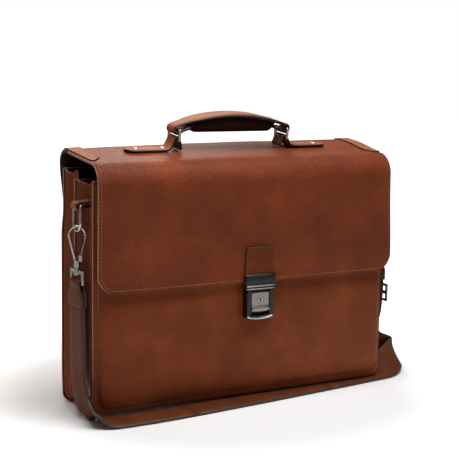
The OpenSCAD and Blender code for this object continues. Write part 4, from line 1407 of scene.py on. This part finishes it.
def build_stage():
    size = 6.0
    floor = bpy.data.meshes.new("floor")
    corners = [(-size, -size, 0), (size, -size, 0), (size, size, 0), (-size, size, 0)]
    floor.from_pydata(corners, [], [(0, 1, 2, 3)])
    obj = bpy.data.objects.new("floor", floor)
    bpy.context.scene.collection.objects.link(obj)
    material, tree, shader = node_material("pale_floor")
    coords = add(tree, "ShaderNodeTexCoord")
    faint = add(tree, "ShaderNodeTexNoise", Scale=2.0, Detail=2.0)
    tree.links.new(coords.outputs["Object"], faint.inputs["Vector"])
    tone = ramp(tree, faint.outputs["Fac"], [(0.3, (0.90, 0.90, 0.90)), (0.7, (0.92, 0.92, 0.92))])
    tree.links.new(tone, shader.inputs["Base Color"])
    shader.inputs["Roughness"].default_value = 0.9
    shader.inputs["Specular IOR Level"].default_value = 0.1
    shader.inputs["Emission Color"].default_value = (1, 1, 1, 1)
    away = add(tree, "ShaderNodeVectorMath", operation="LENGTH")
    tree.links.new(coords.outputs["Object"], away.inputs[0])
    glow = add(tree, "ShaderNodeMapRange", interpolation_type="SMOOTHSTEP")
    glow.inputs["From Min"].default_value = 0.21
    glow.inputs["From Max"].default_value = 0.46
    glow.inputs["To Max"].default_value = 1.2
    seen = add(tree, "ShaderNodeLightPath")
    lit = add(tree, "ShaderNodeMath", operation="MULTIPLY")
    tree.links.new(away.outputs["Value"], glow.inputs["Value"])
    tree.links.new(glow.outputs[0], lit.inputs[0])
    tree.links.new(seen.outputs["Is Camera Ray"], lit.inputs[1])
    tree.links.new(lit.outputs[0], shader.inputs["Emission Strength"])
    floor.materials.append(material)
    scene = bpy.context.scene
    scene.view_settings.view_transform = "Standard"
    world = scene.world or bpy.data.worlds.new("world")
    scene.world = world
    world.use_nodes = True
    tree = world.node_tree
    background = tree.nodes["Background"]
    seen = add(tree, "ShaderNodeLightPath")
    level = add(tree, "ShaderNodeMapRange")
    level.inputs["To Min"].default_value = ROOM_LIGHT
    level.inputs["To Max"].default_value = 1.0
    tree.links.new(seen.outputs["Is Camera Ray"], level.inputs["Value"])
    tree.links.new(level.outputs[0], background.inputs["Strength"])
    background.inputs["Color"].default_value = (1, 1, 1, 1)


def area_light(name, place, target, size, power, colour=(1, 1, 1)):
    data = bpy.data.lights.new(name, "AREA")
    data.shape = "RECTANGLE"
    data.size, data.size_y = size
    data.energy = power
    data.color = colour
    obj = bpy.data.objects.new(name, data)
    bpy.context.scene.collection.objects.link(obj)
    obj.location = place
    obj.rotation_euler = (Vector(target) - Vector(place)).to_track_quat("-Z", "Y").to_euler()


def build_lights():
    area_light("top_softbox", (0.0, -0.27, 1.15), (0, 0, 0.15), (1.2, 0.6), 15)
    area_light("back_softbox", (0.35, 1.5, 1.25), (-0.1, 0, 0.25), (1.2, 0.6), 13, (1.0, 0.88, 0.78))
    area_light("left_softbox", (-1.7, -1.3, 0.9), (0, 0, 0.15), (0.9, 1.0), 1.0)
    area_light("front_fill", (1.1, -2.0, 0.7), (0, 0, 0.15), (1.2, 0.8), 2.4)


def build_camera():
    """Camera a little above the bag, to its left, with a slight roll."""
    azimuth, elevation, roll = math.radians(-30.78), math.radians(7.79), math.radians(0.9)
    distance = 1.4209
    target = Vector((0, BODY_Y * MM, 0.194))
    back = Vector((math.sin(azimuth) * math.cos(elevation), -math.cos(azimuth) * math.cos(elevation),
                   math.sin(elevation)))
    right = Vector((math.cos(azimuth), math.sin(azimuth), 0))
    up = back.cross(right)
    turned_right = right * math.cos(roll) + up * math.sin(roll)
    turned_up = up * math.cos(roll) - right * math.sin(roll)
    data = bpy.data.cameras.new("camera")
    data.lens = 93.9
    data.sensor_width = 36
    obj = bpy.data.objects.new("camera", data)
    bpy.context.scene.collection.objects.link(obj)
    columns = Matrix((turned_right, turned_up, back)).transposed()
    obj.matrix_world = Matrix.Translation(target + back * distance) @ columns.to_4x4()
    bpy.context.scene.camera = obj


build_flap()
tabs = [build_tab(side) for side in (-1, 1)]
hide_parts("handle_tabs")
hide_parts("tab_rivets")
end_strips = [build_end_strip(side) for side in (-1, 1)]
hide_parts("flap_end_strips")
build_handle()
build_body()
build_lining("rear_lining_cloth", "rear_lining")
build_lining("front_lining_cloth", "front_lining")
build_lock()
build_spring()
build_thumb_plate()
build_lock_flap_side()
for side in (-1, 1):
    build_chape(side)
    build_strap_end(side)
build_strap()
build_adjuster()
dress_cad_nodes()
build_stage()
build_lights()
build_camera()
